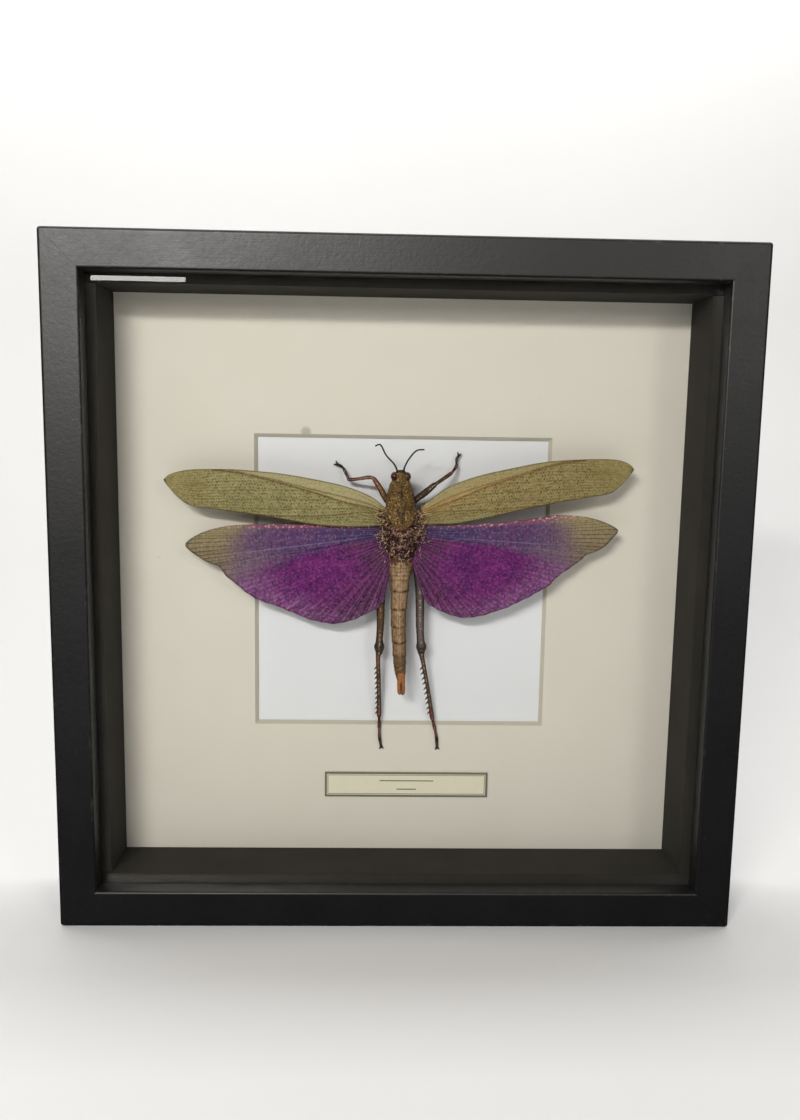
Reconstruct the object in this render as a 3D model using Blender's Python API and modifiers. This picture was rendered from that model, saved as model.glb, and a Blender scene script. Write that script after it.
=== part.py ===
"""Winged grasshopper in a deep black box frame.

The frame stands upright on its bottom rail. Its front faces -Y, +X is to the right and +Z is up.
The origin is at the middle of the footprint, on the surface that the frame stands on.
Points of the model are given in millimetres as (x, up, depth): x to the right of the frame's
middle, up from the frame's middle, and depth behind the front face of the frame.
"""

import math

import bmesh
import bpy
import numpy as np
from mathutils import Matrix, Vector, noise

MM = 0.001

# Frame
FRAME_SIDE = 300.0
FRAME_DEPTH = 48.0
RAIL_FACE = 16.3
RAIL_WALL = 12.0
LIP = 8.5
EDGE_ROUND = 1.4
INNER_EDGE_ROUND = 1.0
GAP = 0.3

# What lies behind the lip, front to back
GLASS = 2.0
GLASS_EDGE = 0.2
SPACER_DEPTH = 26.3
SPACER_INNER = 130.0
MAT = 1.4
PANEL = 1.0
BACKING = 3.0

# Window in the mat, and the card under it
WINDOW_SIDE = 136.9
WINDOW_CENTRE = (0.4, 0.35)
WINDOW_BEVEL = 1.6
LABEL_SIZE = (78.2, 12.3)
LABEL_CENTRE = (4.3, -97.6)
LABEL_CARD = 0.5

# Fixings on the back
TAB = (7.0, 13.0, 0.6)
TAB_PLACES = (-75.0, 75.0)
TAB_SLOT_DEPTH = 4.0
HANGER = (40.0, 8.0, 1.0)
HANGER_PLATE = 0.6
HANGER_TEETH = 9
HANGER_TOOTH = 1.5
HANGER_PLAIN_END = 8.0
HANGER_NAIL = 16.0
NAIL_HEAD = (1.8, 1.2, 0.7)

# Depths that everything is set from
HALF = FRAME_SIDE / 2
OPENING = HALF - RAIL_FACE
REBATE = HALF - RAIL_WALL
FITTED = REBATE - GAP
GLASS_FRONT = LIP + GAP
SPACER_FRONT = GLASS_FRONT + GLASS + GAP
MAT_FRONT = SPACER_FRONT + SPACER_DEPTH + GAP
PANEL_FRONT = MAT_FRONT + MAT + GAP
BACKING_FRONT = PANEL_FRONT + PANEL + GAP
TAB_FRONT = BACKING_FRONT + BACKING + GAP
FRONT_Y = -(FRAME_DEPTH + GAP + HANGER[2]) / 2

# Body of the insect, head to tail: up, x of the middle, half width, back (dorsal) and
# belly (ventral) depth
HEAD = (
    (53.4, -1.1, 1.3, 23.2, 26.0),
    (52.7, -1.1, 2.3, 22.6, 29.0),
    (51.2, -1.1, 3.1, 22.1, 31.8),
    (49.2, -1.0, 3.7, 21.9, 33.4),
    (47.6, -1.0, 4.3, 21.7, 33.6),
)
PRONOTUM = (
    (47.3, -1.0, 4.6, 21.5, 33.6),
    (45.4, -1.0, 5.3, 21.0, 34.0),
    (43.0, -1.0, 5.9, 20.8, 34.2),
    (40.0, -0.9, 6.3, 20.7, 34.3),
    (37.0, -0.8, 6.9, 20.4, 34.3),
    (34.4, -0.6, 7.2, 20.2, 34.2),
    (33.6, -0.6, 6.3, 20.1, 23.6),
    (31.6, -0.5, 5.4, 20.2, 23.1),
    (29.6, -0.4, 3.6, 20.5, 22.8),
    (28.4, -0.3, 1.2, 21.0, 22.4),
)
THORAX = (
    (33.2, -0.5, 7.6, 24.1, 34.0),
    (30.5, -0.5, 8.8, 23.5, 34.2),
    (28.2, -0.4, 9.3, 22.9, 34.2),
    (27.2, -0.4, 9.2, 21.7, 34.2),
    (24.0, -0.3, 8.9, 21.0, 34.2),
    (22.0, -0.3, 8.2, 21.9, 34.1),
    (19.0, -0.3, 7.7, 21.1, 34.0),
    (16.6, -0.3, 6.8, 22.1, 33.6),
    (14.6, -0.3, 6.0, 22.6, 33.0),
)
# Rear edges of the rings of the abdomen, with the same five values
ABDOMEN = (
    (14.3, -0.4, 5.6, 22.8, 32.8),
    (10.9, -0.5, 5.7, 22.7, 32.8),
    (4.0, -0.6, 4.6, 23.0, 32.2),
    (-1.5, -0.7, 4.1, 23.3, 31.6),
    (-10.0, -1.0, 3.5, 23.8, 31.0),
    (-18.1, -1.0, 3.2, 24.1, 30.6),
    (-25.6, -0.6, 2.9, 24.3, 30.2),
    (-31.9, -0.3, 2.7, 24.5, 29.9),
    (-35.4, -0.1, 2.5, 24.8, 29.6),
)
TERGITE_STEP = 0.3
TUCK = 0.04
FULLEST = 0.6
ABDOMEN_AROUND = 14

# Shell: stations, steps along and points around, then the depth of its lumps as a share of
# the radius and how closely they follow each other
HEAD_SKIN = (HEAD, 4, 20)
PRONOTUM_SKIN = (PRONOTUM, 18, 24)
THORAX_SKIN = (THORAX, 16, 18)
GRAIN = 0.15
GRAIN_PITCH = 0.9

# Wings: outlines as (x, up)
WING_SHEET = 0.35
LEFT_FOREWING_FRONT = (
    (-5.5, 34.5), (-8.8, 37.6), (-14.7, 41.8), (-25.5, 45.9), (-39.8, 48.9),
    (-65.5, 52.1), (-87.5, 52.6), (-99.0, 51.6), (-106.6, 48.2),
)
LEFT_FOREWING_REAR = (
    (-6.0, 28.8), (-18.1, 28.0), (-28.9, 27.9), (-39.7, 28.6),
    (-68.4, 32.9), (-91.0, 35.6), (-98.6, 38.5), (-104.8, 44.6),
)
RIGHT_FOREWING_FRONT = (
    (4.5, 33.5), (8.3, 37.2), (13.3, 41.2), (26.1, 48.9), (51.2, 55.6),
    (72.7, 59.0), (92.0, 59.8), (101.0, 58.2), (104.3, 55.2),
)
RIGHT_FOREWING_REAR = (
    (5.0, 29.6), (12.1, 29.6), (23.0, 29.8), (41.0, 33.3),
    (62.6, 38.3), (84.3, 42.6), (94.5, 44.8), (102.2, 52.0),
)
LEFT_HINDWING_ROOT = ((-5.5, 28.4), (-3.5, 16.0))
LEFT_HINDWING_EDGE = (
    (-65.6, 28.2), (-78.3, 27.2), (-87.7, 24.9), (-94.1, 21.9), (-97.6, 18.6), (-95.5, 15.5),
    (-86.3, 10.0), (-82.9, 8.6), (-79.1, 4.1), (-66.4, -5.8), (-51.7, -11.2), (-35.6, -16.7),
    (-28.5, -17.0), (-16.3, -12.7), (-11.2, -10.0), (-7.7, -6.1),
)
RIGHT_HINDWING_ROOT = ((5.0, 28.6), (2.5, 16.0))
RIGHT_HINDWING_EDGE = (
    (69.9, 34.2), (81.1, 33.8), (89.7, 32.0), (95.8, 29.5), (98.5, 27.3), (96.7, 24.5),
    (92.9, 20.5), (84.2, 16.1), (77.5, 10.3), (67.2, 1.5), (51.6, -7.4), (33.1, -13.5),
    (25.2, -13.2), (13.8, -8.4), (10.5, -5.2), (8.6, 2.0),
)
FOREWING_DEPTH = 23.6
FOREWING_DROOP = 3.0
FOREWING_CAMBER = 1.3
FOREWING_GRID = (26, 8)
MAIN_VEIN_ROW = 3
MAIN_VEIN_RIDGE = 0.25
HINDWING_DEPTH = 25.4
HINDWING_DROOP = 2.0
HINDWING_GRID = (27, 9)
RIGHT_HINDWING_BOW = -1.5
PLEAT = 0.45

# Legs and feelers: (x, up, depth, radius) along each
LEFT_ANTENNA = (
    (-2.5, 51.8, 23.6, 0.4), (-2.8, 53.4, 23.0, 0.4), (-4.3, 56.3, 22.5, 0.33),
    (-7.8, 60.1, 22.0, 0.3), (-10.3, 64.5, 21.8, 0.3), (-12.7, 64.0, 21.8, 0.28),
)
RIGHT_ANTENNA = (
    (0.1, 51.8, 23.6, 0.4), (0.2, 53.4, 23.0, 0.4), (0.6, 55.1, 22.7, 0.33),
    (2.4, 58.6, 22.2, 0.3), (5.6, 62.2, 21.8, 0.3), (9.1, 62.8, 21.8, 0.28),
)
LEFT_FORELEG = (
    (-4.5, 36.5, 31.5, 1.3), (-7.4, 40.1, 30.0, 1.35), (-10.3, 45.2, 28.0, 1.2),
    (-13.0, 49.2, 26.7, 0.95), (-15.7, 49.9, 27.5, 0.8), (-20.3, 49.0, 31.0, 0.7),
    (-24.7, 48.7, 34.5, 0.75), (-26.6, 52.6, 36.5, 0.65), (-28.4, 54.6, 37.4, 0.6),
    (-30.3, 55.4, 38.2, 0.55),
)
RIGHT_FORELEG = (
    (4.0, 37.0, 31.5, 1.3), (5.9, 39.9, 30.0, 1.3), (10.1, 43.4, 28.5, 1.45),
    (14.2, 47.0, 27.2, 1.1), (18.2, 49.6, 29.5, 0.8), (22.2, 52.1, 33.0, 0.75),
    (24.6, 55.3, 36.0, 0.7), (24.7, 58.4, 37.4, 0.6), (25.9, 60.3, 38.2, 0.55),
)
LEFT_MIDLEG = (
    (-5.0, 25.0, 31.5, 1.3), (-9.5, 25.5, 31.0, 1.3), (-14.0, 24.0, 31.0, 1.2),
    (-17.6, 22.0, 31.4, 1.0), (-18.4, 18.0, 32.4, 0.8), (-17.0, 10.0, 35.4, 0.75),
    (-16.0, 4.5, 37.6, 0.65), (-15.6, 0.0, 38.3, 0.55),
)
RIGHT_MIDLEG = tuple((-x, up, depth, radius) for x, up, depth, radius in LEFT_MIDLEG)
LEFT_HINDLEG = (
    (-5.0, 17.0, 31.0, 1.6), (-8.2, 13.0, 30.6, 1.7), (-8.9, 2.0, 30.5, 1.75),
    (-9.2, -9.0, 30.5, 1.65), (-9.3, -19.2, 30.8, 1.3), (-9.6, -25.2, 31.0, 1.35),
    (-9.6, -28.6, 31.2, 2.05), (-9.7, -31.2, 31.5, 1.45), (-10.1, -34.1, 31.9, 0.85),
    (-9.7, -45.1, 33.4, 0.75), (-9.4, -55.2, 35.0, 0.75), (-9.3, -63.5, 36.1, 0.9),
    (-9.1, -69.4, 36.4, 0.75), (-8.9, -74.2, 36.4, 0.65), (-8.1, -79.0, 36.8, 0.55),
)
RIGHT_HINDLEG = (
    (4.6, 17.0, 31.0, 1.6), (6.6, 12.0, 30.6, 1.7), (8.4, 0.0, 30.5, 1.75),
    (8.9, -9.0, 30.5, 1.65), (9.1, -19.0, 30.8, 1.3), (9.5, -25.0, 31.0, 1.35),
    (9.9, -28.4, 31.2, 2.1), (10.0, -31.0, 31.5, 1.45), (10.6, -34.5, 31.9, 0.85),
    (13.1, -46.8, 33.4, 0.75), (14.7, -56.0, 35.0, 0.75), (16.0, -64.6, 36.1, 0.9),
    (17.5, -69.9, 36.4, 0.75), (18.3, -74.2, 36.4, 0.65), (18.6, -79.2, 36.8, 0.55),
)
LEG_STEPS = 1.7
ANTENNA_STEPS = 8
SPINES = 10
SPINE_LENGTH = 2.2
SPINE_RADII = (0.34, 0.08)
SPINE_DIRECTION = (-0.78, 0.0, -0.62)
SPINE_RUN = (-38.0, -60.5)

# Egg-laying valves at the tail, the eyes, and the block behind the thorax
VALVE_BASE = (
    (-35.7, -0.1, 2.4, 24.9, 29.5),
    (-38.5, 0.0, 2.3, 25.2, 29.3),
    (-42.0, 0.4, 1.7, 25.8, 29.0),
)
LEFT_VALVE = ((0.1, -40.5, 27.2, 1.3), (-0.1, -45.0, 27.3, 1.2), (-0.2, -49.0, 27.2, 0.5))
RIGHT_VALVE = ((1.0, -40.5, 27.4, 1.3), (1.6, -45.0, 27.5, 1.2), (2.2, -50.0, 27.4, 0.5))
VALVE_STEPS = 6
EYE_SIZE = (1.75, 2.0, 2.4)
LEFT_EYE = (-3.9, 50.7, 24.6)
RIGHT_EYE = (1.8, 50.7, 24.6)
BLOCK_SIZE = (10.0, 14.0)
BLOCK_CENTRE = (-0.3, 23.5)
BLOCK_FRONT = 32.5

# Samples between the points of a smooth line, and the distance in metres at which points are
# welded
CURVE_SAMPLES = 40
WELD = 0.00001


def clear_scene():
    """Removes every object, so that the model starts from an empty scene."""
    for old in list(bpy.data.objects):
        bpy.data.objects.remove(old, do_unlink=True)


def new_collection(name):
    """Adds an empty collection to the scene."""
    collection = bpy.data.collections.new(name)
    bpy.context.scene.collection.children.link(collection)
    return collection


clear_scene()
PARTS = new_collection("framed_grasshopper")
CUTTERS = new_collection("cutters")


def new_material(name, colour, roughness, metallic=0.0, transmission=0.0):
    """A Principled material with one colour."""
    material = bpy.data.materials.new(name)
    material.use_nodes = True
    shader = material.node_tree.nodes["Principled BSDF"]
    shader.inputs["Base Color"].default_value = (*colour, 1.0)
    shader.inputs["Roughness"].default_value = roughness
    shader.inputs["Metallic"].default_value = metallic
    shader.inputs["Transmission Weight"].default_value = transmission
    material.diffuse_color = (*colour, 1.0)
    return material


def world(points):
    """Turns (x, up, depth) in millimetres into world coordinates in metres."""
    x, up, depth = np.asarray(points, dtype=float).T
    return np.stack([x, depth + FRONT_Y, up + HALF], axis=-1) * MM


def spot(x, up, depth):
    """One point of the model as a world vector."""
    return Vector(world([(x, up, depth)])[0])


def add_object(name, mesh, material=None, cutter=False):
    """Puts a mesh in the model, or among the cutters, where it is drawn as wire."""
    thing = bpy.data.objects.new(name, mesh)
    if material:
        mesh.materials.append(material)
    if cutter:
        CUTTERS.objects.link(thing)
        thing.display_type = "WIRE"
        thing.hide_render = True
    else:
        PARTS.objects.link(thing)
    return thing


def shade_round(mesh, angle=40.0):
    """Smooth shading, with edges sharper than the angle left crisp."""
    mesh.shade_smooth()
    mesh.set_sharp_from_angle(angle=math.radians(angle))


def cut(thing, cutter, operation="DIFFERENCE"):
    """Adds an exact Boolean with one cutter."""
    boolean = thing.modifiers.new(cutter.name, "BOOLEAN")
    boolean.operation = operation
    boolean.solver = "EXACT"
    boolean.object = cutter


def evaluated_mesh(thing):
    """The mesh of an object with its modifiers applied, in its own axes."""
    bpy.context.view_layer.update()
    graph = bpy.context.evaluated_depsgraph_get()
    return bpy.data.meshes.new_from_object(thing.evaluated_get(graph))


def slab(name, size, centre, front, material=None, cutter=False, edge=0.0):
    """A flat board: size is (width, height, thickness), and front is the depth of its face."""
    width, height, thick = size
    bm = bmesh.new()
    bmesh.ops.create_cube(bm, size=1.0)
    bmesh.ops.scale(bm, vec=(width * MM, thick * MM, height * MM), verts=bm.verts)
    mesh = bpy.data.meshes.new(name)
    bm.to_mesh(mesh)
    bm.free()
    board = add_object(name, mesh, material, cutter)
    board.location = spot(centre[0], centre[1], front + thick / 2)
    if edge:
        bevel = board.modifiers.new("eased_edges", "BEVEL")
        bevel.width = edge * MM
        bevel.segments = 3
        bevel.limit_method = "ANGLE"
    return board


def loft(name, rings, material=None, cutter=False):
    """A closed skin over rings of points, each ring given as (x, up, depth) rows."""
    rings = np.asarray(rings)
    count, around = rings.shape[:2]
    bm = bmesh.new()
    verts = [[bm.verts.new(point) for point in world(ring)] for ring in rings]
    for near, far in zip(verts, verts[1:]):
        for i in range(around):
            j = (i + 1) % around
            bm.faces.new((near[i], near[j], far[j], far[i]))
    bm.faces.new(verts[0])
    bm.faces.new(verts[count - 1])
    bmesh.ops.recalc_face_normals(bm, faces=bm.faces)
    mesh = bpy.data.meshes.new(name)
    bm.to_mesh(mesh)
    bm.free()
    shade_round(mesh)
    return add_object(name, mesh, material, cutter)


def smooth_line(points, count):
    """Even steps along a smooth curve through points with any number of coordinates."""
    knots = np.asarray(points, dtype=float)
    ends = np.vstack([2 * knots[0] - knots[1], knots, 2 * knots[-1] - knots[-2]])
    place = np.linspace(0, len(knots) - 1, CURVE_SAMPLES * len(knots))
    index = np.minimum(place.astype(int), len(knots) - 2)
    t = (place - index)[:, None]
    a, b, c, d = (ends[index + k] for k in range(4))
    dense = 0.5 * (2 * b + (c - a) * t + (2 * a - 5 * b + 4 * c - d) * t**2
                   + (3 * b - a - 3 * c + d) * t**3)
    steps = np.linalg.norm(np.diff(dense, axis=0), axis=1)
    length = np.concatenate([[0.0], np.cumsum(steps)])
    wanted = np.linspace(0.0, length[-1], count)
    return np.stack([np.interp(wanted, length, column) for column in dense.T], axis=1)


def tube(name, points, count, material=None, cutter=False):
    """A round limb through (x, up, depth, radius) points, as a closed mesh."""
    line = smooth_line(points, count)
    curve = bpy.data.curves.new(name, "CURVE")
    curve.dimensions = "3D"
    curve.bevel_depth = MM
    curve.bevel_resolution = 2
    curve.use_fill_caps = True
    spline = curve.splines.new("POLY")
    spline.points.add(count - 1)
    for point, place, radius in zip(spline.points, world(line[:, :3]), line[:, 3]):
        point.co = (*place, 1.0)
        point.radius = radius
    guide = bpy.data.objects.new(name + "_guide", curve)
    CUTTERS.objects.link(guide)
    bm = bmesh.new()
    bm.from_mesh(evaluated_mesh(guide))
    bmesh.ops.remove_doubles(bm, verts=bm.verts, dist=WELD)
    bmesh.ops.recalc_face_normals(bm, faces=bm.faces)
    mesh = bpy.data.meshes.new(name)
    bm.to_mesh(mesh)
    bm.free()
    bpy.data.objects.remove(guide)
    shade_round(mesh)
    return add_object(name, mesh, material, cutter)


def frame_block():
    """The whole frame in one: a rounded block less the opening of the lip and the rebate."""
    block = slab("frame_block", (FRAME_SIDE, FRAME_SIDE, FRAME_DEPTH), (0, 0), 0, edge=EDGE_ROUND)
    opening = slab("opening_cutter", (2 * OPENING, 2 * OPENING, 3 * FRAME_DEPTH), (0, 0),
                   -FRAME_DEPTH, cutter=True)
    rebate = slab("rebate_cutter", (2 * REBATE, 2 * REBATE, FRAME_DEPTH), (0, 0), LIP, cutter=True)
    cut(block, opening)
    cut(block, rebate)
    for place in TAB_PLACES:
        width = TAB[0] + 2 * GAP
        size = (width, 2 * TAB_SLOT_DEPTH, TAB[2] + 2 * GAP)
        slot = slab("tab_slot_cutter", size, (place, REBATE), TAB_FRONT - GAP, cutter=True)
        cut(block, slot)
    return block


def rail_mesh():
    """The top rail, cut from the block along both mitres, with its inner front edge eased."""
    block = frame_block()
    bm = bmesh.new()
    bm.from_mesh(evaluated_mesh(block))
    miss = GAP / math.sqrt(2) * MM
    for side in (-1, 1):
        plane = Vector((-side * miss, 0, 0))
        normal = Vector((side, 0, -1)).normalized()
        geometry = bm.verts[:] + bm.edges[:] + bm.faces[:]
        bmesh.ops.bisect_plane(bm, geom=geometry, plane_co=plane, plane_no=normal,
                               clear_outer=True, dist=0.0000001)
        rim = [edge for edge in bm.edges if edge.is_boundary]
        bmesh.ops.holes_fill(bm, edges=rim)
    edge_height = OPENING * MM
    front = -FRAME_DEPTH / 2 * MM
    inner = [edge for edge in bm.edges
             if all(abs(v.co.z - edge_height) < 1e-5 and abs(v.co.y - front) < 1e-5
                    for v in edge.verts)]
    bmesh.ops.bevel(bm, geom=inner, offset=INNER_EDGE_ROUND * MM, segments=2,
                    affect="EDGES")
    bmesh.ops.recalc_face_normals(bm, faces=bm.faces)
    mesh = bpy.data.meshes.new("rail")
    bm.to_mesh(mesh)
    bm.free()
    bpy.data.objects.remove(block)
    return mesh


def build_rails(material):
    """Four mitred rails: one mesh, turned by quarter turns about the middle of the frame."""
    mesh = rail_mesh()
    mesh.materials.append(material)
    for turn, side in enumerate(("top", "right", "bottom", "left")):
        rail = add_object(f"frame_rail_{side}", mesh)
        rail.location = spot(0, 0, FRAME_DEPTH / 2)
        rail.rotation_euler = (0, turn * math.pi / 2, 0)


def build_spacers(material):
    """Strips between the glass and the mat: two over the full width and two between them."""
    strip = FITTED - SPACER_INNER
    middle = SPACER_INNER + strip / 2
    for side, name in ((1, "top"), (-1, "bottom")):
        size = (2 * FITTED, strip, SPACER_DEPTH)
        slab(f"spacer_{name}", size, (0, side * middle), SPACER_FRONT, material)
    for side, name in ((1, "right"), (-1, "left")):
        size = (strip, 2 * (SPACER_INNER - GAP), SPACER_DEPTH)
        slab(f"spacer_{name}", size, (side * middle, 0), SPACER_FRONT, material)


def build_mat(material):
    """The mat board, with a window cut on a slant so that its edge shows all round."""
    board = slab("mat_board", (2 * FITTED, 2 * FITTED, MAT), (0, 0), MAT_FRONT, material)
    side = WINDOW_SIDE * MM
    slope = WINDOW_BEVEL / MAT
    reach = 2 * MAT
    bm = bmesh.new()
    bmesh.ops.create_cube(bm, size=1.0)
    for vert in bm.verts:
        near = vert.co.y < 0
        grown = side + (2 * slope * (reach - MAT / 2) if near else -2 * slope * (reach + MAT / 2)) * MM
        vert.co.x *= grown
        vert.co.z *= grown
        vert.co.y *= 2 * reach * MM
    mesh = bpy.data.meshes.new("window_cutter")
    bm.to_mesh(mesh)
    bm.free()
    window = add_object("window_cutter", mesh, cutter=True)
    window.location = spot(*WINDOW_CENTRE, MAT_FRONT + MAT / 2)
    cut(board, window)


def build_boards(glass, mat, paper, label, backing):
    """Glass, mat, white panel, label card and backing board."""
    full = 2 * FITTED
    slab("glass_pane", (full, full, GLASS), (0, 0), GLASS_FRONT, glass, edge=GLASS_EDGE)
    build_mat(mat)
    slab("white_panel", (full, full, PANEL), (0, 0), PANEL_FRONT, paper)
    card_front = MAT_FRONT - GAP - LABEL_CARD
    slab("label_card", (*LABEL_SIZE, LABEL_CARD), LABEL_CENTRE, card_front, label)
    slab("backing_board", (full, full, BACKING), (0, 0), BACKING_FRONT, backing)


def build_tabs(material):
    """Flat steel points, pushed into slots in the rails, that hold the backing board in."""
    reach = REBATE + TAB_SLOT_DEPTH - GAP - TAB[1] / 2
    sides = {"top": (0, 1), "right": (1, 0), "bottom": (0, -1), "left": (-1, 0)}
    for side, (across, up) in sides.items():
        for number, place in enumerate(TAB_PLACES, 1):
            size = (TAB[0], TAB[1]) if up else (TAB[1], TAB[0])
            centre = (place, up * reach) if up else (across * reach, place)
            slab(f"retaining_tab_{side}_{number}", (*size, TAB[2]), centre, TAB_FRONT, material)


def hanger_outline():
    """Outline of the hanger plate, in millimetres: a strip whose lower edge is a saw."""
    width, height, _ = HANGER
    half = width / 2
    toothed = half - HANGER_PLAIN_END
    outline = [(-half, height / 2), (half, height / 2), (half, -height / 2)]
    for tooth in range(HANGER_TEETH):
        right = toothed - 2 * toothed * tooth / HANGER_TEETH
        left = toothed - 2 * toothed * (tooth + 1) / HANGER_TEETH
        outline.append((right, -height / 2))
        outline.append(((right + left) / 2, -height / 2 + HANGER_TOOTH))
    outline.append((-toothed, -height / 2))
    outline.append((-half, -height / 2))
    return outline


def build_hanger(material):
    """A saw-toothed hanger with two nail heads, on the back of the top rail."""
    centre = spot(0, HALF - RAIL_WALL / 2, FRAME_DEPTH + GAP + HANGER_PLATE / 2)
    curve = bpy.data.curves.new("hanger", "CURVE")
    curve.dimensions = "2D"
    curve.fill_mode = "BOTH"
    curve.extrude = HANGER_PLATE / 2 * MM
    outline = hanger_outline()
    spline = curve.splines.new("POLY")
    spline.points.add(len(outline) - 1)
    spline.use_cyclic_u = True
    for point, (x, up) in zip(spline.points, outline):
        point.co = (x * MM, up * MM, 0, 1)
    guide = bpy.data.objects.new("hanger_guide", curve)
    CUTTERS.objects.link(guide)
    bm = bmesh.new()
    bm.from_mesh(evaluated_mesh(guide))
    bpy.data.objects.remove(guide)
    bmesh.ops.remove_doubles(bm, verts=bm.verts, dist=WELD)
    bmesh.ops.rotate(bm, verts=bm.verts, cent=(0, 0, 0), matrix=Matrix.Rotation(math.pi / 2, 3, "X"))
    bmesh.ops.recalc_face_normals(bm, faces=bm.faces)
    mesh = bpy.data.meshes.new("hanger")
    bm.to_mesh(mesh)
    bm.free()
    plate = add_object("sawtooth_hanger", mesh, material)
    plate.location = centre
    for side in (-1, 1):
        head = nail_head(side)
        cut(plate, head, "UNION")


def nail_head(side):
    """A low round nail head that stands on the hanger plate."""
    bm = bmesh.new()
    foot, top, height = NAIL_HEAD
    bmesh.ops.create_cone(bm, cap_ends=True, segments=12, radius1=foot * MM, radius2=top * MM,
                          depth=height * MM)
    bmesh.ops.rotate(bm, verts=bm.verts, cent=(0, 0, 0), matrix=Matrix.Rotation(-math.pi / 2, 3, "X"))
    mesh = bpy.data.meshes.new("nail_head")
    bm.to_mesh(mesh)
    bm.free()
    head = add_object("nail_head_cutter", mesh, cutter=True)
    depth = FRAME_DEPTH + GAP + HANGER[2] - height / 2
    head.location = spot(side * HANGER_NAIL, HALF - RAIL_WALL / 2, depth)
    return head


def station_rings(stations, count, around, grow=0.0, grain=0.0):
    """Oval rings over body stations; grow swells them all round and grain roughens them."""
    line = smooth_stations(stations, count)
    angle = np.linspace(0, 2 * math.pi, around, endpoint=False)
    rings = []
    for up, x, half_width, back, belly in line:
        half_depth = (belly - back) / 2
        middle = (belly + back) / 2
        outward = np.stack([np.cos(angle), np.zeros(around), -np.sin(angle)], axis=1)
        ring = np.array([x, up, middle]) + outward * np.array([half_width, 1.0, half_depth])
        if grain:
            ring = roughen(ring, (x, up, middle), grain)
        rings.append(ring + grow * outward)
    return rings


def smooth_stations(stations, count):
    """Rows between body stations, evenly shared out, with every station kept."""
    table = np.asarray(stations, dtype=float)
    share = max(1, count // (len(table) - 1))
    rows = [a + (b - a) * k / share for a, b in zip(table, table[1:]) for k in range(share)]
    return np.array(rows + [table[-1]])


def roughen(ring, middle, grain):
    """Moves each point of a ring out or in by low lumps of noise."""
    middle = np.array(middle)
    lumps = np.array([noise.noise(Vector(point) * GRAIN_PITCH) for point in ring])
    return ring + (ring - middle) * (grain * lumps)[:, None]


def body_cutter(name, stations, count, around, grain=0.0):
    """The body shape grown by the gap, which keeps wings and legs clear of it."""
    rings = station_rings(stations, count, around, GAP, grain)
    rings[0][:, 1] += GAP
    rings[-1][:, 1] -= GAP
    return loft(name, rings, cutter=True)


def abdomen_stations():
    """Each ring of the abdomen starts tucked in under the flared edge of the one before."""
    rows = [ABDOMEN[0]]
    for start, end in zip(ABDOMEN, ABDOMEN[1:]):
        start = np.array(start)
        end = np.array(end)
        if start[0] < ABDOMEN[0][0]:
            tucked = start + (end - start) * TUCK
            tucked[2] -= TERGITE_STEP
            tucked[3] += TERGITE_STEP
            rows.append(tuple(tucked))
        rows.append(tuple(start + (end - start) * FULLEST))
        rows.append(tuple(end))
    return rows


def build_body(shell, abdomen, valve, eye, brow):
    """Head, eyes cut to fit against the brow, pronotum, thorax, abdomen and egg-laying valves."""
    loft("head", station_rings(*HEAD_SKIN), shell)
    loft("pronotum", station_rings(*PRONOTUM_SKIN, grain=GRAIN), shell)
    loft("thorax", station_rings(*THORAX_SKIN, grain=GRAIN), shell)
    loft("abdomen", station_rings(abdomen_stations(), 1, ABDOMEN_AROUND), abdomen)
    for name, place in (("eye_left", LEFT_EYE), ("eye_right", RIGHT_EYE)):
        cut(ball(name, place, EYE_SIZE, eye), brow)
    valves = loft("ovipositor", station_rings(VALVE_BASE, 4, ABDOMEN_AROUND), valve)
    for name, points in (("left_valve_cutter", LEFT_VALVE), ("right_valve_cutter", RIGHT_VALVE)):
        cut(valves, tube(name, points, VALVE_STEPS, cutter=True), "UNION")


def ball(name, centre, radii, material):
    """An oval ball with radii along x, up and depth."""
    bm = bmesh.new()
    bmesh.ops.create_uvsphere(bm, u_segments=10, v_segments=6, radius=MM)
    bmesh.ops.scale(bm, vec=(radii[0], radii[2], radii[1]), verts=bm.verts)
    mesh = bpy.data.meshes.new(name)
    bm.to_mesh(mesh)
    bm.free()
    shade_round(mesh)
    thing = add_object(name, mesh, material)
    thing.location = spot(*centre)
    return thing


def sheet(name, grid, material):
    """A thin closed sheet over a grid of (x, up, depth) points."""
    rows, columns = grid.shape[:2]
    places = world(grid.reshape(-1, 3))
    number = np.arange(rows * columns).reshape(rows, columns)
    corners = (number[:-1, :-1], number[:-1, 1:], number[1:, 1:], number[1:, :-1])
    faces = np.stack([corner.ravel() for corner in corners], axis=1)
    mesh = bpy.data.meshes.new(name)
    mesh.from_pydata(places.tolist(), [], faces.tolist())
    thing = add_object(name, mesh, material)
    solid = thing.modifiers.new("thickness", "SOLIDIFY")
    solid.thickness = WING_SHEET * MM
    solid.offset = 0.0
    return thing


def ruled(first, second, steps):
    """A grid of (x, up) points between two lines with the same number of points."""
    share = np.linspace(0, 1, steps)[:, None, None]
    return first * (1 - share) + second * share


def forewing(name, front, rear, material):
    """A long narrow leathery wing, arched across and drooping a little towards its tip."""
    columns, rows = FOREWING_GRID
    flat = ruled(smooth_line(front, columns), smooth_line(rear, columns), rows)
    across = np.linspace(0, 1, rows)[:, None]
    along = np.linspace(0, 1, columns)[None, :]
    depth = FOREWING_DEPTH + FOREWING_DROOP * along**1.5
    depth = depth - FOREWING_CAMBER * np.sin(math.pi * across) * np.sin(math.pi * along**0.6)
    depth[MAIN_VEIN_ROW] -= MAIN_VEIN_RIDGE * np.sin(math.pi * along[0])
    return sheet(name, np.dstack([flat, depth]), material)


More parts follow.
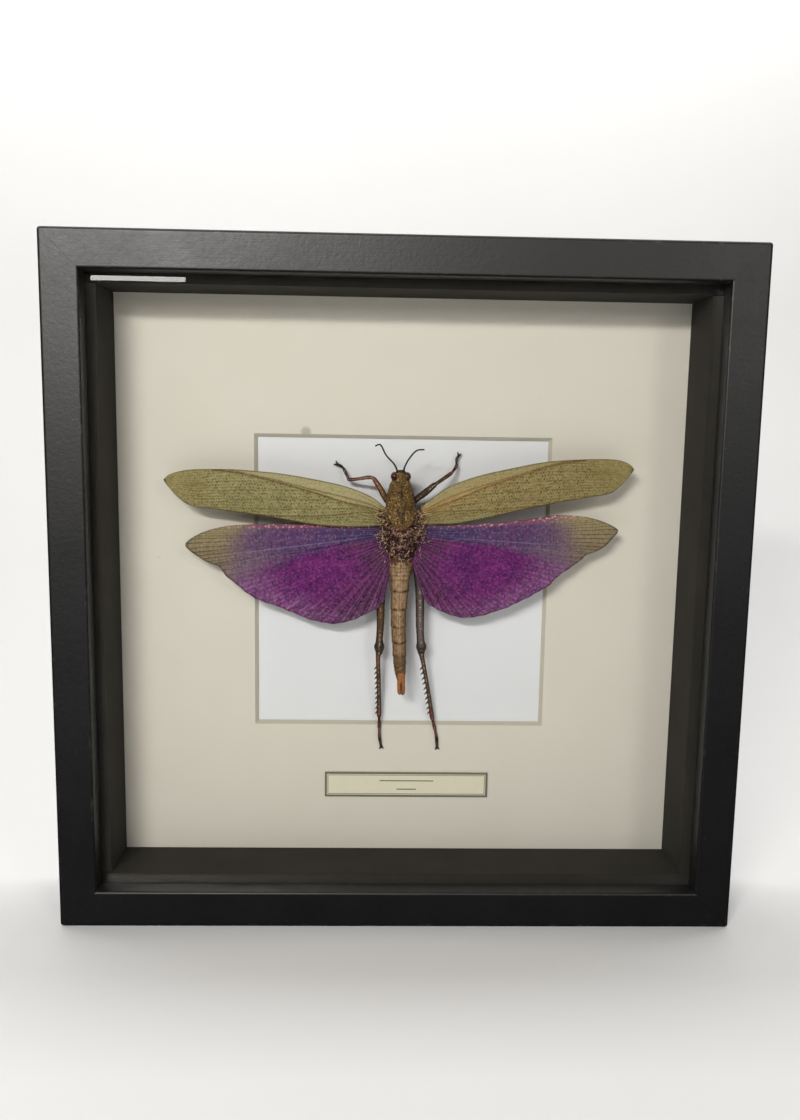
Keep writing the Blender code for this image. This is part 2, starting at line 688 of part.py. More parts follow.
def hindwing(name, root, edge, bow, material):
    """A wide fan, pleated along its rays; bow lifts or lowers the middle of its front edge."""
    columns, rows = HINDWING_GRID
    flat = ruled(smooth_line(root, columns), smooth_line(edge, columns), rows)
    out = np.linspace(0, 1, rows)[:, None]
    turn = np.linspace(0, 1, columns)[None, :]
    flat[:, :, 1] += bow * 4 * out * (1 - out) * (1 - turn)**3
    fold = np.where(np.arange(columns) % 2, -1.0, 1.0) * np.minimum(1, 4 * turn)
    depth = HINDWING_DEPTH + HINDWING_DROOP * out**1.3 + PLEAT * fold * out
    return sheet(name, np.dstack([flat, depth]), material)


def build_wings(green, violet, cutters):
    """Four spread wings, cut clear of the body that they spring from."""
    wings = [
        forewing("forewing_left", LEFT_FOREWING_FRONT, LEFT_FOREWING_REAR, green),
        forewing("forewing_right", RIGHT_FOREWING_FRONT, RIGHT_FOREWING_REAR, green),
        hindwing("hindwing_left", LEFT_HINDWING_ROOT, LEFT_HINDWING_EDGE, 0.0, violet),
        hindwing("hindwing_right", RIGHT_HINDWING_ROOT, RIGHT_HINDWING_EDGE,
                 RIGHT_HINDWING_BOW, violet),
    ]
    for wing in wings:
        for cutter in cutters:
            cut(wing, cutter)


def spine_row(name, leg):
    """A row of thorns on the outer edge of a shin, as loose cones that sink into it."""
    line = smooth_line([point[:3] for point in leg], CURVE_SAMPLES * len(leg))
    pointing = Vector(SPINE_DIRECTION)
    turn = Vector((0, 0, 1)).rotation_difference(pointing).to_matrix().to_4x4()
    bm = bmesh.new()
    for height in np.linspace(*SPINE_RUN, SPINES):
        base = line[np.argmin(abs(line[:, 1] - height))]
        foot = Vector(world([base])[0])
        place = Matrix.Translation(foot + pointing * SPINE_LENGTH / 2 * MM) @ turn
        bmesh.ops.create_cone(bm, cap_ends=True, segments=5, radius1=SPINE_RADII[0] * MM,
                              radius2=SPINE_RADII[1] * MM, depth=SPINE_LENGTH * MM, matrix=place)
    mesh = bpy.data.meshes.new(name)
    bm.to_mesh(mesh)
    bm.free()
    return add_object(name, mesh, cutter=True)


def build_legs(material, cutters):
    """Three pairs of legs; the shins of the hind pair carry a row of thorns."""
    legs = {
        "foreleg_left": LEFT_FORELEG, "foreleg_right": RIGHT_FORELEG,
        "midleg_left": LEFT_MIDLEG, "midleg_right": RIGHT_MIDLEG,
        "hindleg_left": LEFT_HINDLEG, "hindleg_right": RIGHT_HINDLEG,
    }
    for name, points in legs.items():
        leg = tube(name, points, round(LEG_STEPS * len(points)), material)
        if name.startswith("hindleg"):
            cut(leg, spine_row(f"{name}_spine_cutter", points), "UNION")
        for cutter in cutters:
            cut(leg, cutter)


def build_antennae(material, cutter):
    """Two short, thin feelers with bent tips."""
    for name, points in (("antenna_left", LEFT_ANTENNA), ("antenna_right", RIGHT_ANTENNA)):
        cut(tube(name, points, ANTENNA_STEPS, material), cutter)


def build_block(material, cutter):
    """The small cork block behind the thorax, hollowed to its belly, that carries the insect."""
    thick = PANEL_FRONT - GAP - BLOCK_FRONT
    block = slab("mounting_block", (*BLOCK_SIZE, thick), BLOCK_CENTRE, BLOCK_FRONT, material)
    cut(block, cutter)


def build_frame():
    """The frame with everything that is flat inside it."""
    build_rails(new_material("black_lacquered_wood", (0.012, 0.012, 0.013), 0.38))
    build_spacers(new_material("black_spacer", (0.015, 0.014, 0.013), 0.55))
    build_boards(
        new_material("glass", (1.0, 1.0, 1.0), 0.02, transmission=1.0),
        new_material("cream_mat_board", (0.66, 0.6, 0.5), 0.85),
        new_material("white_card", (0.78, 0.79, 0.8), 0.8),
        new_material("label_paper", (0.6, 0.56, 0.43), 0.8),
        new_material("brown_hardboard", (0.2, 0.11, 0.055), 0.75),
    )
    steel = new_material("steel", (0.5, 0.5, 0.5), 0.35, metallic=1.0)
    build_tabs(steel)
    build_hanger(steel)


def build_insect():
    """The dried grasshopper with its wings spread."""
    shell = new_material("brown_shell", (0.16, 0.1, 0.035), 0.6)
    brow = body_cutter("head_cutter", *HEAD_SKIN)
    build_body(
        shell,
        new_material("tan_abdomen", (0.42, 0.33, 0.17), 0.6),
        new_material("orange_valves", (0.5, 0.16, 0.04), 0.45),
        new_material("dark_eye", (0.05, 0.012, 0.012), 0.2),
        brow,
    )
    trunk = [
        body_cutter("pronotum_cutter", *PRONOTUM_SKIN, GRAIN),
        body_cutter("thorax_cutter", *THORAX_SKIN, GRAIN),
    ]
    belly = body_cutter("abdomen_cutter", ABDOMEN, 8, 20)
    green = new_material("green_forewing", (0.27, 0.25, 0.09), 0.55)
    violet = new_material("violet_hindwing", (0.13, 0.012, 0.13), 0.5)
    build_wings(green, violet, [*trunk, belly])
    build_legs(new_material("brown_leg", (0.06, 0.035, 0.015), 0.5), [*trunk, belly])
    build_antennae(new_material("black_antenna", (0.01, 0.009, 0.008), 0.5), brow)
    build_block(new_material("cork", (0.35, 0.22, 0.12), 0.9), trunk[1])


build_frame()
build_insect()
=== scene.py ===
"""Looks of a winged grasshopper in a deep black box frame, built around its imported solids.

Points are written in millimetres as (x, up, depth): x to the right and up from the middle of the
frame, and depth behind the frame's front face. Colours are written as they look on a screen.
"""

import math

import bmesh
import bpy
import numpy as np
from mathutils import Matrix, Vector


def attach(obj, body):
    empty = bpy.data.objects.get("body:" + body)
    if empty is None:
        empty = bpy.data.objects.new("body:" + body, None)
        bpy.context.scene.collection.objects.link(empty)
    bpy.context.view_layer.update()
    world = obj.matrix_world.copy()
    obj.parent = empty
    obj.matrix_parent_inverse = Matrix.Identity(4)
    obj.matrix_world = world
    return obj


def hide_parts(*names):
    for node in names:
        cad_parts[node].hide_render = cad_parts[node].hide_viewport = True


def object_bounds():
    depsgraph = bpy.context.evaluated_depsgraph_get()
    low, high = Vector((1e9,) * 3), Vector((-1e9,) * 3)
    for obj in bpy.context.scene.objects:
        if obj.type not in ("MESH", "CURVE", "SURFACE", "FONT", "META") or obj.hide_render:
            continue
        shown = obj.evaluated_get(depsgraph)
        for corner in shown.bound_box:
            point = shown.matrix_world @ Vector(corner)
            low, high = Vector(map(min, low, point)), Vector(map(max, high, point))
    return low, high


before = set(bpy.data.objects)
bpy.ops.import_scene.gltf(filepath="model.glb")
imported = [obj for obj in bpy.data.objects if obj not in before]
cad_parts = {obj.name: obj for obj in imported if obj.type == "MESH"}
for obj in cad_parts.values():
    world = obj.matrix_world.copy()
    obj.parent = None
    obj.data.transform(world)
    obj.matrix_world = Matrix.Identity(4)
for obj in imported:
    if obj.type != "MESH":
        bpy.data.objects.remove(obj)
cad_box = [list(corner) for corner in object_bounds()]


# The frame is four mitred rails of wood under black satin lacquer. Each has eased edges, a lip
# that covers the edge of the glass and a rebate behind it; glue and pins close the mitres, which
# stay visible as hairlines.
MM = 0.001
MERGE = 0.000001
HALF = (cad_box[1][0] - cad_box[0][0]) / 2 / MM
FRONT = cad_box[0][1] / MM
RAIL_DEPTH = 48.0
RAIL_FACE = 16.3
RAIL_WALL = 12.0
LIP = 8.5
OUTER_ROUND = 1.4
INNER_ROUND = 1.0
EASE = 0.35
JOINT_HAIR = 0.04
LIP_NICK = 0.2
BACK_NICK = 0.3
NEAR_MITRE = np.array([0.0, 0.25, 0.5, 0.8, 1.1, 1.4, 2.0, 6.0])
MAP_STEP = 400.0
SIDES = ("top", "right", "bottom", "left")


def place(points):
    """Model points (x, up, depth) in millimetres as points of the scene in metres."""
    x, up, depth = np.moveaxis(np.asarray(points, dtype=float), -1, 0)
    return np.stack([x, depth + FRONT, up + HALF], axis=-1) * MM


def make_piece(name, points, faces, material, uv=None, crease=35.0, **fields):
    """A mesh from points (x, up, depth) and a list of arrays of faces, or, where faces is None,
    from one grid of points.

    uv is each point's place on the piece's own map, and fields are numbers or colours kept at the
    points. Doubled points are merged, which closes seams and poles, and faces are turned outwards.
    """
    faces = faces or [grid_faces(*points.shape[:2])]
    corners = np.concatenate([array.ravel() for array in faces])
    sizes = np.concatenate([np.full(len(array), array.shape[1]) for array in faces])
    where = place(points).reshape(-1, 3)
    mesh = bpy.data.meshes.new(name)
    mesh.vertices.add(len(where))
    mesh.vertices.foreach_set("co", where.astype(np.float32).ravel())
    mesh.loops.add(len(corners))
    mesh.loops.foreach_set("vertex_index", corners.astype(np.int32))
    mesh.polygons.add(len(sizes))
    mesh.polygons.foreach_set("loop_start", (np.cumsum(sizes) - sizes).astype(np.int32))
    mesh.update(calc_edges=True)
    if uv is not None:
        layer = mesh.uv_layers.new(name="map")
        layer.data.foreach_set("uv", uv.reshape(-1, 2)[corners].astype(np.float32).ravel())
    for field, values in fields.items():
        values = np.asarray(values, dtype=np.float32).reshape(len(where), -1)
        if values.shape[1] == 1:
            kept = mesh.attributes.new(field, "FLOAT", "POINT")
            kept.data.foreach_set("value", values.ravel())
        else:
            kept = mesh.attributes.new(field, "FLOAT_COLOR", "POINT")
            opaque = np.hstack([values, np.ones((len(where), 1), np.float32)])
            kept.data.foreach_set("color", opaque.ravel())
    bm = bmesh.new()
    bm.from_mesh(mesh)
    bmesh.ops.remove_doubles(bm, verts=bm.verts, dist=MERGE)
    bmesh.ops.recalc_face_normals(bm, faces=bm.faces)
    bm.to_mesh(mesh)
    bm.free()
    mesh.shade_smooth()
    mesh.set_sharp_from_angle(angle=math.radians(crease))
    mesh.materials.append(material)
    piece = bpy.data.objects.new(name, mesh)
    bpy.context.scene.collection.objects.link(piece)
    return piece


def grid_faces(rows, columns, start=0):
    """Four-cornered faces between the neighbours of a grid of points numbered row by row."""
    number = np.arange(rows * columns).reshape(rows, columns) + start
    return np.stack([number[:-1, :-1], number[:-1, 1:], number[1:, 1:], number[1:, :-1]],
                    axis=-1).reshape(-1, 4)


class Wire:
    """An output socket of a material's node. Arithmetic on it adds Math nodes."""

    def __init__(self, tree, socket=None):
        self.tree = tree
        self.socket = socket

    def node(self, kind, settings=(), inputs=(), output=0):
        """Adds any node: its settings first, then a value or a wire for each input named."""
        node = self.tree.nodes.new(kind)
        for key, value in dict(settings).items():
            setattr(node, key, value)
        for key, value in dict(inputs).items():
            if isinstance(value, Wire):
                self.tree.links.new(value.socket, node.inputs[key])
            else:
                node.inputs[key].default_value = value
        return Wire(self.tree, node.outputs[output])

    def maths(self, operation, first, second=0.0):
        """A Math node's result from one or two values."""
        return self.node("ShaderNodeMath", {"operation": operation}, {0: first, 1: second})

    def __add__(self, other):
        return self.maths("ADD", self, other)

    def __sub__(self, other):
        return self.maths("SUBTRACT", self, other)

    def __rsub__(self, other):
        return self.maths("SUBTRACT", other, self)

    def __mul__(self, other):
        return self.maths("MULTIPLY", self, other)

    def __truediv__(self, other):
        return self.maths("DIVIDE", self, other)

    def __abs__(self):
        return self.maths("ABSOLUTE", self)

    __radd__ = __add__
    __rmul__ = __mul__

    def step(self, low, high):
        """Rises smoothly from 0 where the value is low to 1 where it is high."""
        return self.node("ShaderNodeMapRange", {"interpolation_type": "SMOOTHSTEP"},
                         {"Value": self, "From Min": low, "From Max": high})

    def mix(self, first, second):
        """The first colour where this is 0 and the second where it is 1."""
        return self.node("ShaderNodeMix", {"data_type": "RGBA"},
                         {0: self, 6: first, 7: second}, output=2)

    def shade(self, colour, darkest):
        """The colour multiplied by 1 where this is 0 and by a grey where this is 1."""
        return self.node("ShaderNodeMix", {"data_type": "RGBA", "blend_type": "MULTIPLY"},
                         {0: self, 6: colour, 7: (darkest, darkest, darkest, 1.0)}, output=2)

    def stretched(self, *sizes):
        """This vector divided by a size, or by one for each axis, so a pattern is that large."""
        sizes = sizes * 3 if len(sizes) == 1 else sizes
        return self.node("ShaderNodeVectorMath", {"operation": "DIVIDE"}, {0: self, 1: sizes})

    def part(self, axis):
        """One axis of this vector."""
        return self.node("ShaderNodeSeparateXYZ", inputs={0: self}, output=axis)

    def spot(self, kind="Object"):
        """Where each point lies in the scene, or on the piece's own map."""
        return self.node("ShaderNodeTexCoord", output=kind)

    def field(self, name, output="Fac"):
        """A number, or with "Color" a colour, that is kept at the piece's points."""
        return self.node("ShaderNodeAttribute", {"attribute_name": name}, output=output)

    def noise(self, *sizes, detail=3.0, roughness=0.55):
        """Cloudy noise from 0 to 1, with lumps of these sizes."""
        return self.node("ShaderNodeTexNoise", inputs={
            "Vector": self.stretched(*sizes), "Scale": 1.0, "Detail": detail,
            "Roughness": roughness})

    def cells(self, *sizes, feature="F1", output="Distance", randomness=1.0):
        """Cells of these sizes: the distance to their middles or borders, or their colours."""
        return self.node("ShaderNodeTexVoronoi", {"feature": feature}, {
            "Vector": self.stretched(*sizes), "Scale": 1.0, "Randomness": randomness}, output)

    def relief(self, height, strength=1.0):
        """A normal for a surface raised by this value times a height in millimetres."""
        return self.node("ShaderNodeBump", inputs={
            "Height": self, "Distance": height * MM, "Strength": strength})


def paint(red, green, blue):
    """A colour given as screen values from 0 to 255, as linear red, green, blue and alpha."""
    screen = np.array([red, green, blue]) / 255
    linear = np.where(screen > 0.04045, ((screen + 0.055) / 1.055) ** 2.4, screen / 12.92)
    return (*linear.tolist(), 1.0)


def new_finish(name, **fixed):
    """A Principled material with values set on its own sockets, and where its points lie."""
    material = bpy.data.materials.new(name)
    material.use_nodes = True
    shader = material.node_tree.nodes["Principled BSDF"]
    for key, value in fixed.items():
        shader.inputs[key.replace("_", " ")].default_value = value
    return material, Wire(material.node_tree).spot()


def feed(material, colour, roughness=None, normal=None, metallic=None):
    """Links wires to the sockets of a material's shader, and gives the material back."""
    shader = material.node_tree.nodes["Principled BSDF"]
    for key, wire in (("Base Color", colour), ("Roughness", roughness), ("Normal", normal),
                      ("Metallic", metallic)):
        if wire is not None:
            material.node_tree.links.new(wire.socket, shader.inputs[key])
    return material


def black_lacquer():
    """Satin black with a faint grain along the rail, cloudy sheen, dust and worn edges."""
    material, body = new_finish("black_lacquer", Specular_IOR_Level=0.7)
    along = body.spot("UV")
    grain = along.noise(42.0, 0.55, 1.0, detail=4.0)
    cloud = body.noise(0.03)
    dust = body.cells(0.006).step(0.035, 0.02)
    wear = body.field("edge")
    worn = wear * body.noise(0.004).step(0.55, 0.8) * 0.5
    pebble = body.noise(0.0016, detail=4.0, roughness=0.6)
    colour = (grain * 0.5 + pebble * 0.5).mix(paint(3, 3, 4), paint(13, 12, 12))
    colour = worn.mix(colour, paint(74, 71, 66))
    colour = (dust * 0.7).mix(colour, paint(120, 116, 108))
    return feed(material, colour, cloud * 0.14 + pebble * 0.1 + 0.33,
                (pebble * 0.8 + grain * 0.25 + cloud * 0.3).relief(0.15, 0.6))


def rail_profile():
    """The rail's section as (distance in from the outer side, depth) with a wear value each.

    The outer corners and the inner front corner are quarter circles; a point close to each end
    of a quarter circle keeps the flats flat.
    """
    turn = np.linspace(0, math.pi / 2, 7)
    near = OUTER_ROUND * (1 - np.sin(turn))
    far = OUTER_ROUND * (1 - np.cos(turn))
    rows = [(0.0, OUTER_ROUND + EASE, 0.0)]
    rows += [(a, b, 1.0) for a, b in zip(far, near)]
    rows += [(OUTER_ROUND + EASE, 0.0, 0.0), (RAIL_FACE / 2, 0.0, 0.0),
             (RAIL_FACE - INNER_ROUND - EASE, 0.0, 0.0)]
    rows += [(RAIL_FACE - INNER_ROUND * (1 - math.sin(t)), INNER_ROUND * (1 - math.cos(t)), 1.0)
             for t in np.linspace(0, math.pi / 2, 6)]
    rows += [(RAIL_FACE, INNER_ROUND + EASE, 0.0), (RAIL_FACE, LIP - LIP_NICK, 0.0),
             (RAIL_FACE - LIP_NICK, LIP, 0.0), (RAIL_WALL, LIP, 0.0),
             (RAIL_WALL, RAIL_DEPTH - BACK_NICK, 0.0), (RAIL_WALL - BACK_NICK, RAIL_DEPTH, 0.0),
             (OUTER_ROUND + EASE, RAIL_DEPTH, 0.0)]
    rows += [(a, RAIL_DEPTH - b, 1.0) for a, b in zip(far[::-1], near[::-1])]
    rows += [(0.0, RAIL_DEPTH - OUTER_ROUND - EASE, 0.0)]
    return np.array(rows)


def round_corner(across, up):
    """Pulls the square outer corners in to quarter circles about a centre near each corner."""
    edge = HALF - OUTER_ROUND
    a = np.clip(abs(across) - edge, 0, None)
    b = np.clip(abs(up) - edge, 0, None)
    longest = np.maximum(a, b)
    pull = longest / np.maximum(np.hypot(a, b), 1e-9)
    inside = (a > 0) & (b > 0)
    across = np.where(inside, np.sign(across) * (edge + a * pull), across)
    up = np.where(inside, np.sign(up) * (edge + b * pull), up)
    return across, up


def rail_points():
    """The top rail: the profile carried from one mitre to the other, which shortens it by its
    distance in from the outer side."""
    profile = rail_profile()
    share = np.linspace(-1, 1, 25)[1:-1]
    half_length = (HALF - profile[:, 0] - JOINT_HAIR)[:, None]
    ends = half_length - NEAR_MITRE
    middle = (half_length - NEAR_MITRE[-1]) * share
    along = np.hstack([-ends, middle, ends[:, ::-1]])
    across, up = round_corner(along, np.broadcast_to(HALF - profile[:, :1], along.shape))
    depth = np.broadcast_to(profile[:, 1:2], across.shape)
    steps = np.hypot(*np.diff(profile[:, :2], axis=0).T)
    girth = np.concatenate([[0.0], np.cumsum(steps)])[:, None] + np.zeros_like(across)
    wear = profile[:, 2:] + np.zeros_like(across)
    return np.stack([across, up, depth], axis=-1), np.stack([along, girth], axis=-1), wear


lacquer = black_lacquer()
points, rail_map, wear = rail_points()
rows, columns = points.shape[:2]
closed = np.concatenate([points, points[:1]])
closed_map = np.concatenate([rail_map, rail_map[:1] + [0.0, rail_map[:, :, 1].max()]])
closed_wear = np.concatenate([wear, wear[:1]])
end_caps = np.stack([np.arange(rows) * columns, np.arange(rows) * columns + columns - 1])
for turn, side in enumerate(SIDES):
    across, up, depth = np.moveaxis(closed, -1, 0)
    angle = -turn * math.pi / 2
    turned = np.stack([across * math.cos(angle) - up * math.sin(angle),
                       across * math.sin(angle) + up * math.cos(angle), depth], axis=-1)
    rail = make_piece(f"lacquered_rail_{side}", turned,
                      [grid_faces(rows + 1, columns), end_caps[:1], end_caps[1:]],
                      lacquer, uv=closed_map + [MAP_STEP * turn, 0.0], edge=closed_wear)
    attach(rail, "root")
    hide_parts(f"frame_rail_{side}")


# Behind the glass, black paper-faced foam strips line the rebate. They hold the glass away from
# the mat and make the deep dark walls of the case.
def black_liner():
    """Matt black paper with a fine tooth and slightly greyer cut ends."""
    material, body = new_finish("black_liner", Specular_IOR_Level=0.12)
    tooth = body.noise(0.0007)
    cloud = body.noise(0.02)
    return feed(material, cloud.mix(paint(44, 41, 37), paint(60, 56, 50)), tooth * 0.2 + 0.6,
                tooth.relief(0.05, 0.5))


liner = black_liner()
for side in SIDES:
    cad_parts[f"spacer_{side}"].data.materials[0] = liner


# The front is a pane of clear float glass, held between the lip and the strips. It is left
# unbroken and clean, apart from its faint green cast.
GLASS_TINT = (0.975, 0.985, 0.98, 1.0)
GLASS_IOR = 1.5
GLASS_GLOSS = 1.4


def clear_glass():
    """Reflects by Fresnel's law on the side that light comes from and lets the rest through."""
    material = bpy.data.materials.new("clear_glass")
    material.use_nodes = True
    tree = material.node_tree
    tree.nodes.remove(tree.nodes["Principled BSDF"])
    start = Wire(tree)
    gloss = start.node("ShaderNodeBsdfGlossy", inputs={"Roughness": 0.01})
    through = start.node("ShaderNodeBsdfTransparent", inputs={"Color": GLASS_TINT})
    fresnel = start.node("ShaderNodeFresnel", inputs={"IOR": GLASS_IOR})
    back = start.node("ShaderNodeNewGeometry", output="Backfacing")
    lamp = start.node("ShaderNodeLightPath", output="Is Shadow Ray")
    share = fresnel * GLASS_GLOSS * (1 - back) * (1 - lamp)
    mixed = start.node("ShaderNodeMixShader", inputs={0: share, 1: through, 2: gloss})
    tree.links.new(mixed.socket, tree.nodes["Material Output"].inputs["Surface"])
    return material


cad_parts["glass_pane"].data.materials[0] = clear_glass()


# The mat is a cream board with a square window. The window is cut on a slant, so the board's
# paler core shows as a narrow bevel all round it. The bevel is painted a greyer cream than the
# face all the same: painted shade on the slanted cut.
MAT_FRONT = 37.7
MAT_BACK = 39.1
MAT_HALF = 137.7
WINDOW_HALF = 68.45
WINDOW_CENTRE = (0.4, 0.35)
BEVEL = 1.6
RIM_EASE = 0.12
BEVEL_NICK = 0.1
SMUDGE = (-44.3, 69.7)
SMUDGE_REACH = 3.0


def square_ring(half, centre, depth, per_side=40):
    """Points round a square, evenly spaced along each side, with the first repeated last."""
    share = np.linspace(-1, 1, per_side, endpoint=False)
    full = np.ones(per_side)
    x = np.concatenate([share, full, -share, -full])
    up = np.concatenate([full, -share, -full, share])
    ring = np.stack([centre[0] + half * x, centre[1] + half * up, np.full(4 * per_side, depth)],
                    axis=1)
    return np.vstack([ring, ring[:1]])


def mat_points():
    """Rings from the back of the outer edge over the face and down the bevel to the back."""
    outer = [square_ring(MAT_HALF, (0, 0), MAT_BACK), square_ring(MAT_HALF, (0, 0), MAT_FRONT)]
    rim = square_ring(WINDOW_HALF, WINDOW_CENTRE, MAT_FRONT)
    face = [outer[1] * (1 - share) + rim * share for share in np.linspace(0, 1, 13)[1:-1]]
    eased = square_ring(WINDOW_HALF + RIM_EASE, WINDOW_CENTRE, MAT_FRONT)
    lower = square_ring(WINDOW_HALF - BEVEL_NICK, WINDOW_CENTRE, MAT_FRONT + BEVEL_NICK)
    inner = square_ring(WINDOW_HALF - BEVEL, WINDOW_CENTRE, MAT_BACK)
    rings = outer + face + [eased, rim, lower, inner, outer[0]]
    core = [0] * (len(rings) - 3) + [1, 1, 0]
    return np.array(rings), np.repeat(np.array(core, float)[:, None], rings[0].shape[0], axis=1)


def cream_board():
    """Cream paper face with a faint mottle and fibres and one thumb smudge. The white core on the
    bevel is painted a greyer cream, as painted shade.
    """
    material, body = new_finish("cream_board", Specular_IOR_Level=0.25)
    core = body.field("core")
    fibre = body.noise(0.0012, 0.0012, 0.0004, detail=5.0)
    mottle = body.noise(0.035)
    x, up = body.part(0), body.part(2)
    middle = place([(*SMUDGE, 0.0)])[0]
    away = ((x - middle[0]) * (x - middle[0]) + (up - middle[2]) * (up - middle[2])) / MM**2
    speck = body.cells(0.011).step(0.028, 0.018)
    colour = mottle.mix(paint(221, 213, 201), paint(227, 220, 209))
    colour = (fibre.step(0.35, 0.75) * 0.2).mix(colour, paint(210, 198, 176))
    colour = (away.step(SMUDGE_REACH**2, 1.0) * 0.45).mix(colour, paint(120, 116, 108))
    colour = (speck * 0.5).mix(colour, paint(110, 100, 88))
    # Painted shade: the bevel's white core is coloured a greyer cream than the face.
    colour = core.step(0.4, 0.6).mix(colour, paint(196, 188, 172))
    return feed(material, colour, fibre * 0.1 + 0.78, fibre.relief(0.06, 0.4))


mat_rings, mat_core = mat_points()
mat = make_piece("cream_mat", mat_rings, None, cream_board(), crease=20.0, core=mat_core)
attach(mat, "root")
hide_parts("mat_board")


# Behind the window lies a white card, and on the mat below the window a cream label. The label
# is printed with a double border and ruled lines only.
def white_card():
    """Smooth white card with a little dust."""
    material, body = new_finish("white_card", Specular_IOR_Level=0.3)
    fibre = body.noise(0.001, detail=4.0)
    cloud = body.noise(0.05)
    speck = body.cells(0.016).step(0.02, 0.012)
    colour = cloud.mix(paint(229, 228, 231), paint(236, 234, 237))
    colour = (speck * 0.45).mix(colour, paint(120, 112, 104))
    return feed(material, colour, fibre * 0.1 + 0.7, fibre.relief(0.03, 0.4))


LABEL_CENTRE = (4.3, -97.6)
LABEL_HALF = (39.1, 6.15)
BORDERS = ((0.5, 0.85), (1.5, 0.25))
RULES = ((1.9, 12.8, 0.45), (-2.3, 4.6, 0.45))
INK = paint(70, 65, 50)


def frame_line(x, up, inset, width):
    """1 on a rectangular line that lies this far in from the label's edge."""
    sideways = abs(x) - (LABEL_HALF[0] - inset)
    upright = abs(up) - (LABEL_HALF[1] - inset)
    away = sideways.maths("MAXIMUM", sideways, upright)
    return abs(away).step(width * 0.75, width * 0.45)


def ruled_line(x, up, height, half_length, width):
    """1 on a level line of this half length at this height."""
    level = abs(up - height).step(width * 0.75, width * 0.45)
    return level * abs(x).step(half_length + 0.2, half_length)


def printed_label():
    """Cream paper with ink lines laid out in millimetres."""
    material, body = new_finish("printed_label", Specular_IOR_Level=0.3, Roughness=0.72)
    x = body.part(0) / MM - LABEL_CENTRE[0]
    up = body.part(2) / MM - (HALF + LABEL_CENTRE[1])
    fibre = body.noise(0.0009, detail=4.0)
    lines = [frame_line(x, up, *border) for border in BORDERS]
    lines += [ruled_line(x, up, *rule) for rule in RULES]
    ink = lines[0]
    for line in lines[1:]:
        ink = ink.maths("MAXIMUM", ink, line)
    colour = fibre.mix(paint(236, 228, 206), paint(226, 216, 192))
    colour = (ink * 0.85).mix(colour, INK)
    return feed(material, colour, normal=fibre.relief(0.03, 0.4))


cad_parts["white_panel"].data.materials[0] = white_card()
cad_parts["label_card"].data.materials[0] = printed_label()


# The case is closed by a brown hardboard back, held by steel points that are pushed into the
# rails. A saw-toothed steel hanger is nailed to the back of the top rail.
def hardboard():
    """Pressed brown fibres with a fine speckle."""
    material, body = new_finish("hardboard", Specular_IOR_Level=0.3)
    fibre = body.noise(0.0022, detail=6.0, roughness=0.7)
    cloud = body.noise(0.04)
    colour = fibre.step(0.3, 0.7).mix(paint(96, 66, 42), paint(142, 106, 72))
    colour = (cloud * 0.35).mix(colour, paint(110, 80, 54))
    return feed(material, colour, fibre * 0.25 + 0.55, fibre.relief(0.12, 0.6))


def rolled_steel():
    """Zinc-grey sheet steel with rolling marks and dull blooms."""
    material, body = new_finish("rolled_steel")
    marks = body.noise(0.006, 0.0004, 0.0003, detail=4.0)
    bloom = body.noise(0.004)
    return feed(material, bloom.mix(paint(150, 150, 148), paint(184, 184, 180)),
                marks * 0.2 + bloom * 0.15 + 0.2, marks.relief(0.01, 0.4),
                metallic=bloom * 0.1 + 0.88)


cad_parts["backing_board"].data.materials[0] = hardboard()
steel = rolled_steel()
for name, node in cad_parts.items():
    if name.startswith("retaining_tab") or name == "sawtooth_hanger":
        node.data.materials[0] = steel


# A small block of pressed cork, glued to the white card behind the thorax, carries the insect
# clear of the card.
def cork():
    """Cork granules of mixed browns with dark seams."""
    material, body = new_finish("cork", Specular_IOR_Level=0.25, Roughness=0.85)
    seam = body.cells(0.0016, feature="DISTANCE_TO_EDGE").step(0.16, 0.02)
    grain = body.noise(0.0012)
    colour = grain.step(0.3, 0.7).mix(paint(150, 112, 74), paint(186, 148, 104))
    colour = (seam * 0.8).mix(colour, paint(84, 56, 34))
    return feed(material, colour, normal=(grain - seam * 0.6).relief(0.2, 0.7))


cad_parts["mounting_block"].data.materials[0] = cork()


# The insect's head and the saddle of its pronotum are one granular ochre-brown shell. A low
# keel runs down the middle and three grooves cross the saddle, whose rear end is a rounded lobe
# over the wing bases.
CURVE_STEPS = 60
LATTICE_KEY = np.array([73856093, 19349663, 83492791])
SEED_KEY = 97561
SCRAMBLE = 1274126177
SHELL_GRAIN = 0.72
HEAD = (
    (53.6, -1.1, 0.6, 23.6, 25.6),
    (53.3, -1.1, 1.5, 23.0, 27.2),
    (52.4, -1.1, 2.5, 22.5, 29.8),
    (51.2, -1.1, 3.1, 22.1, 31.8),
    (49.2, -1.0, 3.8, 21.8, 33.4),
    (47.4, -1.0, 4.5, 21.6, 33.6),
    (46.6, -1.0, 4.4, 22.0, 33.4),
)
PRONOTUM = (
    (47.7, -1.0, 3.9, 22.1, 33.2),
    (47.4, -1.0, 4.6, 21.5, 33.6),
    (45.4, -1.0, 5.3, 21.0, 34.0),
    (43.0, -1.0, 5.9, 20.8, 34.2),
    (40.0, -0.9, 6.3, 20.7, 34.3),
    (37.0, -0.8, 6.9, 20.4, 34.2),
    (35.2, -0.6, 7.1, 20.2, 31.5),
    (34.2, -0.6, 7.0, 20.1, 26.5),
    (33.4, -0.6, 6.4, 20.1, 23.8),
    (31.8, -0.5, 5.6, 20.2, 23.2),
    (30.2, -0.4, 4.8, 20.3, 22.9),
    (28.8, -0.4, 3.7, 20.4, 22.7),
    (27.6, -0.3, 2.3, 20.6, 22.5),
    (26.9, -0.3, 1.2, 20.9, 22.3),
    (26.7, -0.3, 0.5, 21.2, 22.0),
)
GROOVES = (43.4, 39.6, 36.6)


